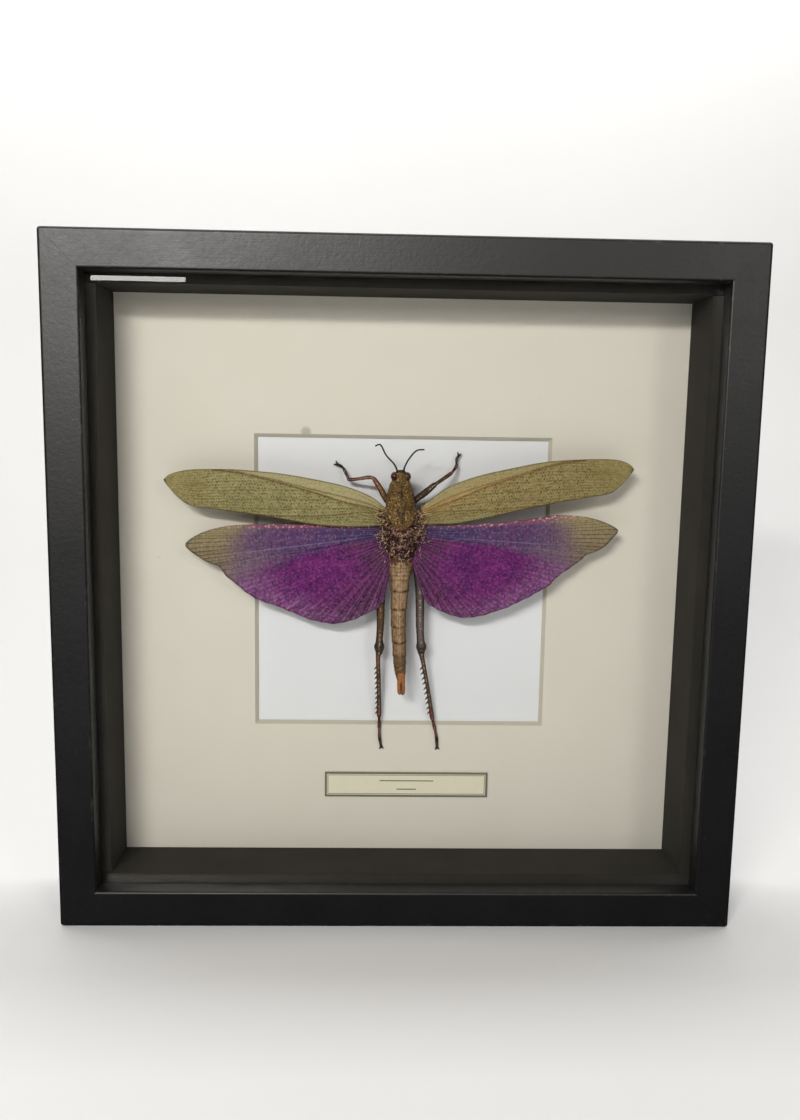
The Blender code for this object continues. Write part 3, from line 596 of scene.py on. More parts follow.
def smooth_line(points, count):
    """Even steps along a smooth curve through points: each stretch is a cubic whose slope at a
    point is half the way from the point before it to the one after."""
    knots = np.asarray(points, dtype=float)
    ends = np.vstack([2 * knots[0] - knots[1], knots, 2 * knots[-1] - knots[-2]])
    where = np.linspace(0, len(knots) - 1, CURVE_STEPS * len(knots))
    index = np.minimum(where.astype(int), len(knots) - 2)
    t = (where - index)[:, None]
    a, b, c, d = (ends[index + k] for k in range(4))
    dense = 0.5 * (2 * b + (c - a) * t + (2 * a - 5 * b + 4 * c - d) * t**2
                   + (3 * b - a - 3 * c + d) * t**3)
    steps = np.linalg.norm(np.diff(dense, axis=0), axis=1)
    length = np.concatenate([[0.0], np.cumsum(steps)])
    wanted = np.linspace(0.0, length[-1], count)
    return np.stack([np.interp(wanted, length, column) for column in dense.T], axis=1)


def lumps(points, pitch, seed=0):
    """Soft random lumps from -1 to 1: random values at the corners of a cubic lattice of this
    pitch, blended between the corners with smooth steps."""
    scaled = np.asarray(points) / pitch
    cell = np.floor(scaled).astype(np.int64)
    t = scaled - cell
    t = t * t * (3 - 2 * t)
    total = 0.0
    for corner in np.ndindex(2, 2, 2):
        key = (cell + corner) @ LATTICE_KEY + seed * SEED_KEY
        key = (key ^ (key >> 13)) * SCRAMBLE & 0x7FFFFFFF
        value = ((key ^ (key >> 16)) & 0xFFFF) / 65535.0
        total = total + value * np.prod(np.where(corner, t, 1 - t), axis=-1)
    return 2 * total - 1


def body_grid(stations, rows, around):
    """Ovals over stations (up, x, half width, back depth, belly depth), closed at both ends.

    Returns the points, the unit direction outwards of each, and the angle round the oval, which
    is a quarter turn at the back of the insect."""
    line = smooth_line(stations, rows)
    angle = np.linspace(0, 2 * math.pi, around + 1)[None, :]
    up, x, half, back, belly = (line[:, k:k + 1] for k in range(5))
    outward = np.stack([np.cos(angle), np.zeros_like(angle), -np.sin(angle)], axis=-1)
    outward = np.broadcast_to(outward, (rows, around + 1, 3))
    points = np.stack([x + half * np.cos(angle), up + 0 * angle,
                       (back + belly) / 2 - (belly - back) / 2 * np.sin(angle)], axis=-1)
    return points, outward, np.broadcast_to(angle, (rows, around + 1))


def closed_grid(points):
    """Adds a pole at each end of a grid of rings, as a ring of equal points."""
    first = np.broadcast_to(points[0].mean(axis=0), points[0].shape)
    last = np.broadcast_to(points[-1].mean(axis=0), points[-1].shape)
    return np.concatenate([first[None], points, last[None]])


def padded(values):
    """Repeats the end rows of values, to go with the poles of a closed grid."""
    return np.concatenate([values[:1], values, values[-1:]])


def near(value, centre, width):
    """A bell of height 1 about a centre."""
    return np.exp(-(((value - centre) / width) ** 2))


def rise(value, low, high):
    """A smooth step from 0 at low to 1 at high."""
    t = np.clip((value - low) / (high - low), 0, 1)
    return t * t * (3 - 2 * t)


def shell_grid(stations, rows, around, grooves=()):
    """The ovals with a keel on the back, grooves across and grains scattered all over, and the
    share of dark stain beside the keel and of mauve on the right side rim."""
    points, outward, angle = body_grid(stations, rows, around)
    back = np.sin(angle) > 0
    keel = near(np.cos(angle), 0.0, 0.05) * back
    raised = 0.22 * keel + 0.12 * lumps(points, 2.4, 1)
    for groove in grooves:
        height = groove + 0.5 * np.cos(angle) ** 2
        raised = raised - 0.25 * near(points[..., 1], height, 0.25)
    grains = np.clip(lumps(points, SHELL_GRAIN, 2), 0, 1) ** 1.5
    raised = raised + 0.26 * grains + 0.08 * lumps(points, 0.35, 3)
    up = points[..., 1]
    x = points[..., 0] + 0.7
    streak = near(x, 0.0, 0.85) * near(up, 42.4, 2.8)
    streak = streak + 0.7 * near(x, 0.0, 0.6) * near(up, 46.5, 2.0)
    twin = near(np.abs(x), 0.4 + 0.2 * (up - 31.5), 0.65) * near(up, 35.0, 3.4)
    stain = np.clip(streak + twin, 0, 1) * back * rise(lumps(points, 0.8, 4), -1.2, -0.3)
    stain = np.maximum(stain, 0.8 * rise(up, 52.0, 53.2))
    rim = near(np.cos(angle), 0.97, 0.12) * near(up, 35.5, 4.0)
    points = points + outward * raised[..., None]
    return closed_grid(points), padded(grains), padded(stain), padded(rim)


def brown_shell():
    """Ochre-olive chitin, peppered with dark pits between its pale grains."""
    material, body = new_finish("brown_shell", Specular_IOR_Level=0.16)
    grains, stain, rim = (body.field(name) for name in ("grains", "stain", "rim"))
    fine = body.noise(0.00058, detail=2.0)
    blot = body.noise(0.004)
    colour = blot.step(0.3, 0.7).mix(paint(106, 78, 40), paint(124, 96, 52))
    colour = (grains.step(0.05, 0.4) * 0.85).mix(colour, paint(172, 140, 84))
    colour = (rim * 0.75).mix(colour, paint(132, 104, 98))
    colour = (fine.step(0.54, 0.42) * 0.85).mix(colour, paint(42, 27, 15))
    colour = (stain * 0.92).mix(colour, paint(40, 24, 14))
    return feed(material, colour, fine * 0.3 + 0.4, fine.relief(0.08, 0.7))


shell = brown_shell()
for name, stations, size, grooves in (
    ("head", HEAD, (60, 96), ()),
    ("pronotum", PRONOTUM, (130, 128), GROOVES),
):
    points, grains, stain, rim = shell_grid(stations, *size, grooves)
    piece = make_piece(f"granular_{name}", points, None, shell, crease=70.0,
                       grains=grains, stain=stain, rim=rim)
    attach(piece, "root")
    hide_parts(name)


# The compound eyes are smooth domes set into the sides of the head. The left one is wine red
# and the right one has dried nearly black round an ochre middle.
EYE_RADII = (1.75, 2.0, 2.4)
EYES = {
    "left": ((-3.9, 50.7, 24.6), paint(70, 24, 24), paint(26, 10, 12)),
    "right": ((1.8, 50.7, 24.6), paint(76, 52, 28), paint(16, 11, 10)),
}


def ball_grid(centre, radii, rows, around):
    """An oval ball in polar coordinates, with its poles up and down."""
    tilt = np.linspace(-math.pi / 2, math.pi / 2, rows)[:, None]
    turn = np.linspace(0, 2 * math.pi, around + 1)[None, :]
    unit = np.stack([np.cos(tilt) * np.cos(turn), np.sin(tilt) + 0 * turn,
                     np.cos(tilt) * np.sin(turn)], axis=-1)
    return np.asarray(centre) + unit * np.asarray(radii)


def eye_finish(name, middle, rim):
    """Glossy, with a fine net of facets and a darker rim."""
    material, body = new_finish(name, Coat_Weight=0.25, Coat_Roughness=0.12)
    dome = body.field("dome")
    facet = body.cells(0.00022)
    cloud = body.noise(0.0012)
    colour = (dome + cloud * 0.4).step(0.55, 1.15).mix(rim, middle)
    return feed(material, colour, cloud * 0.15 + 0.15, facet.relief(0.02, 0.4))


for side, (centre, middle, rim) in EYES.items():
    points = ball_grid(centre, EYE_RADII, 33, 48)
    dome = np.clip((centre[2] - points[..., 2]) / EYE_RADII[2], 0, 1)
    eye = make_piece(f"compound_eye_{side}", points, None,
                     eye_finish(f"eye_{side}_finish", middle, rim), dome=dome)
    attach(eye, "root")
    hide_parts(f"eye_{side}")


# The feelers are thin black threads of two dozen joints that rise from thick first joints
# beside the eyes and are bent outwards near their tips.
FEELERS = {
    "left": ((-2.5, 51.6, 23.8, 0.48), (-2.8, 53.4, 23.0, 0.46), (-4.3, 56.3, 22.5, 0.4),
             (-7.8, 60.1, 22.0, 0.38), (-10.3, 64.5, 21.8, 0.37), (-12.7, 64.0, 21.8, 0.34)),
    "right": ((0.1, 51.6, 23.8, 0.48), (0.2, 53.4, 23.0, 0.46), (0.6, 55.1, 22.7, 0.4),
              (2.4, 58.6, 22.2, 0.38), (5.6, 62.2, 21.8, 0.37), (9.1, 62.8, 21.8, 0.34)),
}


def limb_grid(points, rows, around, swell=None, flat=1.0):
    """A round section carried along a smooth curve through points (x, up, depth, radius).

    swell multiplies the radius of each row, and flat squashes the section along the depth."""
    line = smooth_line(points, rows)
    middle, radius = line[:, :3], line[:, 3] * (1.0 if swell is None else swell(rows))
    heading = np.gradient(middle, axis=0)
    heading /= np.linalg.norm(heading, axis=1)[:, None]
    side = np.cross(heading, (0.0, 0.0, 1.0))
    side /= np.linalg.norm(side, axis=1)[:, None]
    facing = np.cross(side, heading) * flat
    angle = np.linspace(0, 2 * math.pi, around + 1)[None, :, None]
    ring = side[:, None] * np.cos(angle) + facing[:, None] * np.sin(angle)
    return closed_grid(middle[:, None] + ring * radius[:, None, None])


def joints(rows):
    """A radius that pinches in between two dozen joints."""
    return 1.0 - 0.18 * np.abs(np.cos(np.linspace(0, 24 * math.pi, rows))) ** 6


def black_thread():
    """Near-black chitin with a brown tint towards the joints."""
    material, body = new_finish("black_thread", Specular_IOR_Level=0.4)
    cloud = body.noise(0.001)
    return feed(material, cloud.mix(paint(12, 10, 10), paint(30, 22, 18)), cloud * 0.2 + 0.4,
                cloud.relief(0.03, 0.5))


thread = black_thread()
for side, points in FEELERS.items():
    feeler = make_piece(f"jointed_feeler_{side}", limb_grid(points, 193, 12, joints), None, thread)
    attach(feeler, "root")
    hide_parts(f"antenna_{side}")


# Behind the saddle the thorax is a crumpled brown shell with knobs where the four wings hinge
# on it. It is matted with dry golden hair, thickest round the wing bases.
THORAX = (
    (33.4, -0.5, 6.6, 24.6, 34.0),
    (31.8, -0.5, 7.9, 23.9, 34.1),
    (30.5, -0.5, 8.6, 23.5, 34.2),
    (28.4, -0.4, 9.1, 22.9, 34.2),
    (26.6, -0.4, 9.1, 21.6, 34.2),
    (24.0, -0.3, 8.8, 21.0, 34.2),
    (22.0, -0.3, 8.1, 21.7, 34.1),
    (19.0, -0.3, 7.6, 21.1, 34.0),
    (16.6, -0.3, 6.7, 21.9, 33.6),
    (14.2, -0.3, 5.9, 22.5, 33.0),
    (13.2, -0.3, 4.9, 23.2, 32.2),
)
HINGES = ((-7.2, 31.8), (6.8, 32.0), (-6.9, 24.6), (6.6, 24.8))
KNOBS_EACH = 9
KNOB_SEED = 11


def thorax_grid():
    """The ovals, folded by ridges of noise that are deepest on the back, and the pale crests of
    the ridges and of the small plates down the middle."""
    points, outward, angle = body_grid(THORAX, 150, 150)
    folds = 1 - 2 * np.abs(lumps(points, 2.0, 5))
    fine = 1 - 2 * np.abs(lumps(points, 0.8, 6))
    facing = np.clip(np.sin(angle) + 0.5, 0.2, 1)
    x, up = points[..., 0] + 0.3, points[..., 1]
    plates = near(np.abs(x), 2.6, 0.45) * near(up, 26.0, 2.2)
    plates = plates + near(np.abs(x), 1.2, 1.5) * (near(up, 24.2, 0.4) + near(up, 19.2, 0.4))
    plates = plates + near(x, 0.0, 1.1) * (near(up, 21.9, 0.5) + 0.8 * near(up, 16.0, 0.6))
    plates = np.clip(plates, 0, 1) * (np.sin(angle) > 0)
    raised = facing * (0.5 * folds + 0.25 * fine) + 0.06 * lumps(points, 0.3, 7) + 0.35 * plates
    crest = np.maximum(rise(folds + 0.5 * fine, 0.75, 1.25), plates)
    return closed_grid(points + outward * raised[..., None]), padded(crest)


def knob_grids(random):
    """Small oval knobs, thrown round each wing hinge and turned by chance in the wing's plane."""
    grids = []
    for x, up in HINGES:
        for _ in range(KNOBS_EACH):
            long, wide, thick = random.uniform(0.7, 1.5), random.uniform(0.35, 0.6), 0.5
            grid = ball_grid((0, 0, 0), (long, wide, thick), 13, 14)
            turn = random.uniform(0, math.pi)
            cos, sin = math.cos(turn), math.sin(turn)
            spin = np.array([[cos, sin, 0], [-sin, cos, 0], [0, 0, 1]])
            centre = (x + random.normal(0, 1.6), up + random.normal(0, 2.2),
                      random.uniform(21.6, 23.6))
            grids.append(grid @ spin + centre)
    return grids


def join_grids(grids):
    """Several grids of one size as one list of points and faces."""
    rows, columns = grids[0].shape[:2]
    each = rows * columns
    faces = [grid_faces(rows, columns, k * each) for k in range(len(grids))]
    return np.concatenate([grid.reshape(-1, 3) for grid in grids]), faces


def hide_shell(name, dark, pale):
    """Wrinkled brown hide, dark in its folds and paler on its crests."""
    material, body = new_finish(name, Specular_IOR_Level=0.2)
    crest = body.field("crest")
    fine = body.noise(0.0005, detail=4.0)
    blot = body.noise(0.0018)
    colour = blot.step(0.35, 0.65).mix(dark, paint(64, 38, 42))
    colour = (crest * fine.step(0.44, 0.6)).mix(colour, pale)
    colour = (fine.step(0.48, 0.34) * 0.7).mix(colour, paint(24, 15, 14))
    return feed(material, colour, fine * 0.35 + 0.3, fine.relief(0.12, 0.7))


hide = hide_shell("thorax_hide", paint(46, 21, 22), paint(188, 144, 118))
points, crest = thorax_grid()
thorax = make_piece("folded_thorax", points, None, hide, crease=70.0, crest=crest)
knob_points, knob_faces = join_grids(knob_grids(np.random.default_rng(KNOB_SEED)))
knobs = make_piece("wing_hinge_knobs", knob_points, knob_faces,
                   hide_shell("hinge_hide", paint(52, 33, 28), paint(176, 136, 98)),
                   crest=rise(lumps(knob_points, 1.2, 14), -0.2, 0.5))
for piece in (thorax, knobs):
    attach(piece, "root")
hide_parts("thorax")


# The abdomen is a tapering row of overlapping rings of tan shell. A pale line runs down its
# back, and dark bars mark the hind edges of the rings.
ABDOMEN = (
    (15.8, -0.4, 4.9, 23.4, 32.4),
    (14.3, -0.4, 5.6, 22.8, 32.8),
    (10.9, -0.5, 5.7, 22.7, 32.8),
    (4.0, -0.6, 4.6, 23.0, 32.2),
    (-1.5, -0.7, 4.1, 23.3, 31.6),
    (-10.0, -1.0, 3.6, 23.8, 31.0),
    (-18.1, -1.0, 3.4, 24.1, 30.6),
    (-25.6, -0.6, 3.2, 24.3, 30.2),
    (-31.9, -0.3, 3.0, 24.5, 29.9),
    (-35.4, -0.1, 2.8, 24.8, 29.6),
    (-36.2, -0.1, 2.3, 25.2, 29.2),
)
RING_EDGES = np.array([14.6, 6.0, 4.0, -1.5, -10.0, -18.1, -25.6, -31.9, -35.4])


def ring_place(up):
    """How far along its own ring each height lies, from 0 at the front edge to 1 at the rear."""
    edges = RING_EDGES[::-1]
    index = np.clip(np.searchsorted(edges, up), 1, len(edges) - 1)
    return np.clip((edges[index] - up) / (edges[index] - edges[index - 1]), 0, 1)


def blend(first, second, mask):
    """A mix of two colours, or fields of colours, by a mask from 0 to 1."""
    mask = np.clip(np.asarray(mask), 0, 1)[..., None]
    return np.asarray(first)[..., :3] * (1 - mask) + np.asarray(second)[..., :3] * mask


def layered(colour, *layers):
    """A colour, or a field of colours, under layers that are each a screen colour and the mask
    from 0 to 1 that lays it on."""
    for cover, mask in layers:
        colour = blend(colour, paint(*cover), mask)
    return colour


def abdomen_grid():
    """The ovals with each ring flared to its rear edge, and the colours of the back: pale tan
    that turns brown to the sides and the tail, a seam down the middle, and a dark line across
    each joint that thickens to a bar on either side of the seam."""
    points, outward, angle = body_grid(ABDOMEN, 460, 90)
    up, side, back = points[..., 1], np.cos(angle), np.sin(angle) > 0
    local = ring_place(up)
    seam = near(side, 0, 0.05) * back
    crease = near(np.abs(side), 0.8, 0.05)
    raised = 0.26 * local**3 - 0.1 * near(local, 0.06, 0.07) + 0.05 * lumps(points, 1.1, 8)
    raised = raised + 0.12 * near(side, 0, 0.12) * back - 0.1 * seam - 0.12 * crease
    points = points + outward * raised[..., None]
    streaks = lumps(points * [2.2, 0.8, 1], 1.2, 9)
    patches = lumps(points, 1.7, 15)
    colour = blend(paint(176, 144, 110), paint(144, 112, 84), 0.5 + 0.6 * streaks)
    colour = layered(
        colour,
        ((130, 102, 66), rise(up, -2.0, -20.0) * (0.65 + 0.3 * patches)),
        ((196, 164, 130), 0.6 * near(np.abs(side), 0.12, 0.07) * back),
        ((92, 64, 44), 0.8 * rise(np.abs(side), 0.65, 0.95)))
    joint = np.maximum.reduce([near(up + 0.12 * patches, edge, 0.2) for edge in RING_EDGES[1:8]])
    bar = np.maximum.reduce([near(up + 0.3 * streaks, edge + 0.3, 0.6)
                             for edge in (10.9, *RING_EDGES[3:8])])
    bar = bar * near(np.abs(side), 0.5, 0.26) * rise(patches, -0.9, -0.1) * back
    lines = np.maximum.reduce([near(up + 0.15 * patches, edge, 0.22) for edge in (12.4, 9.6, 7.8)])
    lines = np.maximum(lines, near(np.abs(side), 0.45, 0.045) * rise(up, 6.5, 8.5)) * back
    grit = lumps(points, 0.75, 18)
    colour = layered(
        colour,
        ((206, 178, 142), 0.3 * rise(grit, 0.2, 0.6)),
        ((84, 58, 40), 0.4 * rise(-grit, 0.2, 0.6)),
        ((62, 42, 28), np.maximum(0.75 * joint, 0.6 * lines)),
        ((34, 22, 16), 0.95 * bar),
        ((84, 58, 38), 0.75 * seam * rise(streaks, -0.5, 0.3)),
        ((98, 74, 46), 0.75 * rise(up, -26.0, -35.5)))
    root = rise(up + 0.9 * np.abs(side), 11.6, 12.8)
    colour = blend(colour, blend(paint(74, 44, 42), paint(110, 78, 56), 0.5 + 0.5 * patches), root)
    colour = blend(colour, paint(96, 74, 52), 0.7 * ~back)
    return closed_grid(points), padded(colour)


def tinted(name, pore, height, roughness, spread=0.2, **fixed):
    """A finish that takes its colour from the piece's own tint, with fine pores and sheen."""
    material, body = new_finish(name, **fixed)
    tint = body.field("tint", "Color")
    fine = body.noise(pore, detail=4.0)
    colour = fine.step(0.55, 0.3).shade(tint, 0.62)
    return feed(material, colour, fine * spread + roughness, fine.relief(height, 0.6))


points, tint = abdomen_grid()
abdomen = make_piece("ringed_abdomen", points, None,
                     tinted("tan_rings", 0.0005, 0.07, 0.4, Specular_IOR_Level=0.14),
                     crease=60.0, tint=tint)
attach(abdomen, "root")
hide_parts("abdomen")


# At the tail are the hard orange valves that the female digs with: two pairs of blunt horns
# from a short sleeve, closed on each other.
SLEEVE = (
    (-34.8, -0.1, 2.5, 25.0, 29.4),
    (-36.0, -0.1, 2.75, 24.8, 29.6),
    (-39.0, 0.1, 2.65, 24.9, 29.5),
    (-41.6, 0.4, 2.2, 25.3, 29.2),
    (-43.6, 0.6, 1.7, 25.9, 28.8),
    (-44.4, 0.7, 1.1, 26.5, 28.2),
)
VALVES = (
    ((0.1, -41.5, 26.8, 1.15), (-0.15, -45.5, 26.5, 1.02), (-0.08, -48.4, 26.6, 0.96),
     (0.02, -49.8, 26.7, 0.7), (-0.05, -50.2, 26.7, 0.3)),
    ((1.2, -41.5, 26.9, 1.15), (1.5, -45.5, 26.6, 1.02), (1.58, -48.6, 26.7, 0.96),
     (1.5, -50.0, 26.8, 0.7), (1.55, -50.4, 26.8, 0.3)),
    ((0.1, -41.5, 28.3, 1.0), (-0.1, -45.0, 28.2, 0.9), (-0.2, -47.6, 28.3, 0.7),
     (-0.2, -48.8, 28.4, 0.4), (-0.2, -49.2, 28.4, 0.2)),
    ((1.2, -41.5, 28.3, 1.0), (1.4, -45.0, 28.2, 0.9), (1.6, -47.8, 28.3, 0.7),
     (1.6, -49.0, 28.4, 0.4), (1.6, -49.4, 28.4, 0.2)),
)


def tail_colour(points):
    """Brown at the sleeve, ochre-orange down the middle and brown at the tips. The outer sides and
    the gap where the two pairs part are darkened as painted shade.
    """
    x, up = points[..., 0] - 0.6, points[..., 1]
    colour = blend(paint(104, 76, 48), paint(166, 106, 60), rise(up, -38.6, -41.0))
    return layered(
        colour,
        # Painted shade: the outer sides of the valves turn brown.
        ((84, 50, 32), 0.85 * rise(np.abs(x), 1.1, 2.1)),
        ((70, 42, 30), 0.7 * rise(up, -47.0, -50.5)),
        # Painted shade: near black down the gap where the two pairs part.
        ((44, 26, 20), 0.9 * near(x, 0.1, 0.45) * rise(up, -43.5, -45.0)),
        ((196, 142, 92), 0.35 * rise(lumps(points, 1.0, 12), 0.1, 0.5)))


horn = tinted("orange_horn", 0.0008, 0.05, 0.3, Specular_IOR_Level=0.2, Coat_Weight=0.05)
points, outward, _ = body_grid(SLEEVE, 40, 32)
points = closed_grid(points + outward * (0.12 * lumps(points, 0.9, 13))[..., None])
sleeve = make_piece("valve_sleeve", points, None, horn, crease=60.0, tint=tail_colour(points))
points, faces = join_grids([limb_grid(valve, 36, 16, flat=0.8) for valve in VALVES])
valves = make_piece("digging_valves", points, faces, horn, crease=60.0, tint=tail_colour(points))
for piece in (sleeve, valves):
    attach(piece, "root")
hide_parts("ovipositor")


# The forewings are long leathery blades. A strong vein runs out from the shoulder to the front
# edge, fainter ones fan out behind it, and a fine net of cells fills the rest in olive green.
FOREWINGS = {
    "left": (
        ((-5.5, 34.5), (-8.8, 37.6), (-14.7, 41.8), (-25.5, 45.9), (-39.8, 48.9), (-54.0, 51.1),
         (-65.5, 52.1), (-76.8, 52.7), (-87.5, 52.6), (-96.7, 52.0), (-103.8, 50.1),
         (-106.8, 47.7)),
        ((-6.0, 28.8), (-18.1, 28.0), (-28.9, 27.9), (-39.7, 28.6), (-54.0, 30.8),
         (-68.4, 32.9), (-82.7, 34.6), (-94.1, 36.0), (-100.4, 39.8), (-104.3, 44.0),
         (-106.4, 46.7)),
    ),
    "right": (
        ((4.5, 33.5), (8.3, 37.2), (13.3, 41.2), (19.0, 45.6), (26.1, 48.9), (36.8, 52.3),
         (51.2, 55.6), (61.9, 57.8), (72.7, 59.0), (87.2, 59.7), (96.6, 59.4), (101.8, 57.7),
         (104.2, 55.4)),
        ((5.0, 29.6), (12.1, 29.6), (23.0, 29.8), (30.2, 31.0), (41.0, 33.3), (51.8, 36.0),
         (62.6, 38.3), (73.4, 40.6), (84.3, 42.6), (93.0, 44.2), (97.2, 46.8), (101.4, 51.2),
         (103.7, 54.4)),
    ),
}
WING_VEINS = (
    ((0.0, 0.22), (0.075, 0.34), (0.205, 0.38), (0.31, 0.31), (0.415, 0.25), (0.5, 0.2),
     (0.6, 0.13), (0.7, 0.06), (0.78, 0.02)),
    ((0.0, 0.18), (0.1, 0.26), (0.27, 0.25), (0.43, 0.2), (0.6, 0.1), (0.7, 0.03)),
    ((0.0, 0.3), (0.1, 0.5), (0.23, 0.7), (0.36, 0.84), (0.47, 0.92), (0.56, 0.98)),
    ((0.02, 0.31), (0.2, 0.5), (0.4, 0.66), (0.58, 0.84), (0.72, 0.97)),
    ((0.2, 0.4), (0.4, 0.48), (0.6, 0.64), (0.78, 0.84), (0.88, 0.96)),
    ((0.36, 0.31), (0.56, 0.38), (0.75, 0.56), (0.93, 0.84)),
    ((0.5, 0.22), (0.7, 0.27), (0.86, 0.42), (0.97, 0.62)),
)
VEIN_WEIGHTS = (1.0, 0.8, 0.8, 0.5, 0.55, 0.5, 0.5)
CELL_ROWS = 14.0
ROW_SLANT = 0.75
FOREWING_DEPTH = 23.6
FOREWING_DROOP = 3.0
FOREWING_CAMBER = 1.3
WING_SHEET = 0.3
BLADE_GRID = (64, 300)


def ruled(first, second, rows):
    """Points between two lines that have the same number of points."""
    share = np.linspace(0, 1, rows)[:, None, None]
    return first * (1 - share) + second * share


def leaf(points, thickness):
    """A thin closed sheet: the grid twice, half its thickness to the front and to the back, and
    a rim that joins the two."""
    rows, columns = points.shape[:2]
    lift = np.zeros_like(points)
    lift[..., 2] = np.asarray(thickness) / 2
    both = np.concatenate([(points - lift).reshape(-1, 3), (points + lift).reshape(-1, 3)])
    each = rows * columns
    number = np.arange(each).reshape(rows, columns)
    loop = np.concatenate([number[0, :-1], number[:-1, -1], number[-1, :0:-1], number[:0:-1, 0]])
    after = np.roll(loop, -1)
    rim = np.stack([loop, after, after + each, loop + each], axis=1)
    return both, [grid_faces(rows, columns), grid_faces(rows, columns, each), rim]


def twice(values, width=1):
    """A field of a grid's points, once for each side of a leaf."""
    return np.concatenate([values.reshape(-1, width)] * 2)


def vein_field(along, across, scale):
    """How close each point is to a vein: the strongest of the bells across all the veins."""
    field = np.zeros_like(along)
    for vein, weight in zip(WING_VEINS, VEIN_WEIGHTS):
        line = smooth_line(vein, 200)
        centre = np.interp(along, line[:, 0], line[:, 1])
        inside = (along >= line[0, 0]) & (along <= line[-1, 0])
        field = np.maximum(field, weight * near(across, centre, scale) * inside)
    return field


def forewing_grid(front, rear):
    """Ruled between the two edges, arched across, drooping to the tip, with raised veins and
    low ripples between them. The map counts millimetres along and rows of cells across; the
    rows slant towards the rear edge."""
    rows, columns = BLADE_GRID
    flat = ruled(smooth_line(front, columns), smooth_line(rear, columns), rows)
    across = np.broadcast_to(np.linspace(0, 1, rows)[:, None], (rows, columns))
    along = np.broadcast_to(np.linspace(0, 1, columns)[None, :], (rows, columns))
    depth = FOREWING_DEPTH + FOREWING_DROOP * along**1.5
    depth = depth - FOREWING_CAMBER * np.sin(math.pi * across) * np.sin(math.pi * along**0.6)
    veins = vein_field(along, across, 0.022)
    depth = depth - 0.3 * veins
    depth = depth - 0.04 * np.sin(2 * math.pi * CELL_ROWS * (across - ROW_SLANT * along))
    points = np.dstack([flat, depth])
    reach = np.abs(flat[..., 0] - flat[:, :1, 0])
    cell_row = CELL_ROWS * (across - ROW_SLANT * along) + 0.4 * np.sin(9.0 * along)
    return points, np.dstack([reach, cell_row]), veins, along, across


def forewing_tint(side, points, veins, along, across):
    """Olive green, smooth and paler before the main vein and in a strip at the rear base, ochre
    at the shoulder, and brown at the tip. Also says where the net of cells is faint."""
    cloud, small = lumps(points, 6.0, 20), lumps(points, 2.2, 21)
    warm = 0.45 if side == "right" else 0.0
    main = np.interp(along, *smooth_line(WING_VEINS[0], 200).T)
    blotch = near(along, 0.84, 0.05) * near(across, 0.4, 0.2)
    ochre = near(across, main - 0.03, 0.16) * rise(along, 0.62, 0.1)
    strip = rise(across, 0.84, 0.92) * rise(along, 0.4, 0.3)
    streaks = np.sin(across * 60.0 + 6.0 * along) * 0.5 + 0.5
    tint = layered(
        blend(paint(154, 144, 98), paint(134, 126, 82), 0.5 + 0.5 * cloud + 0.35 * small),
        ((150, 124, 80), warm),
        ((172, 161, 119), (0.85 - warm) * rise(main - across, 0.0, 0.05)),
        ((150, 134, 84), 0.7 * rise(along + 0.06 * cloud, 0.72, 0.95)),
        ((116, 98, 58), 0.4 * blotch),
        ((178, 142, 88), (0.1 + 1.3 * warm) * ochre),
        ((142, 134, 88), 0.7 * strip),
        ((112, 78, 42), 0.75 * rise(along, 0.08, 0.0)),
        ((98, 70, 38), 0.6 * streaks**2 * rise(along, 0.24, 0.03)),
        ((96, 70, 36) if side == "left" else (118, 84, 42), 0.85 * rise(veins, 0.3, 0.9)),
        ((58, 48, 28), 0.9 * rise(across, 0.968, 0.985)),
        ((96, 78, 44), 0.8 * rise(across, 0.035, 0.015)),
        ((84, 70, 40), 0.8 * rise(along, 0.98, 0.995)))
    plain = 0.8 * rise(main - across, -0.02, 0.05) + 0.35 * rise(along, 0.75, 0.95) + 0.8 * strip
    return tint, np.clip(plain, 0, 1)


def leathery_green():
    """The wing's own tint under rows of dark-centred cells with pale walls."""
    material, body = new_finish("leathery_green", Specular_IOR_Level=0.12)
    chart = body.spot("UV")
    tint = body.field("tint", "Color")
    plain = body.field("plain")
    sway = body.noise(0.009)
    row = chart.part(1) + sway * 0.9
    brick = chart.part(0) + row.maths("FLOOR", row) * 0.62
    laid = chart.node("ShaderNodeCombineXYZ", inputs={0: brick, 1: row})
    wall = laid.cells(1.25, 1.0, 1.0, feature="DISTANCE_TO_EDGE", randomness=0.4)
    dot = laid.cells(1.25, 1.0, 1.0, randomness=0.4).step(0.46, 0.18)
    vein = abs(row.maths("FRACT", row / 3.0) - 0.5).step(0.43, 0.5)
    fine = body.noise(0.0009)
    cloud = body.noise(0.006)
    busy = (1 - plain) * (cloud.step(0.2, 0.6) * 0.6 + 0.4)
    colour = (fine.step(0.5, 0.7) * 0.35).mix(tint, paint(182, 172, 122))
    colour = (dot * busy * 0.9).mix(colour, paint(76, 62, 33))
    colour = (vein * busy * 0.5).mix(colour, paint(100, 84, 44))
    colour = (fine.step(0.46, 0.3) * 0.5).mix(colour, paint(96, 82, 46))
    return feed(material, colour, fine * 0.2 + 0.42,
                (wall.step(0.0, 0.3) * -0.5 + fine * 0.2).relief(0.12, 0.5))


green = leathery_green()
for side, (front, rear) in FOREWINGS.items():
    points, chart, veins, along, across = forewing_grid(front, rear)
    tint, plain = forewing_tint(side, points, veins, along, across)
    both, faces = leaf(points, WING_SHEET + 0.25 * veins)
    wing = make_piece(f"netted_forewing_{side}", both, faces, green, uv=twice(chart, 2),
                      tint=twice(tint, 3), plain=twice(plain))
    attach(wing, "root")
    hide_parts(f"forewing_{side}")


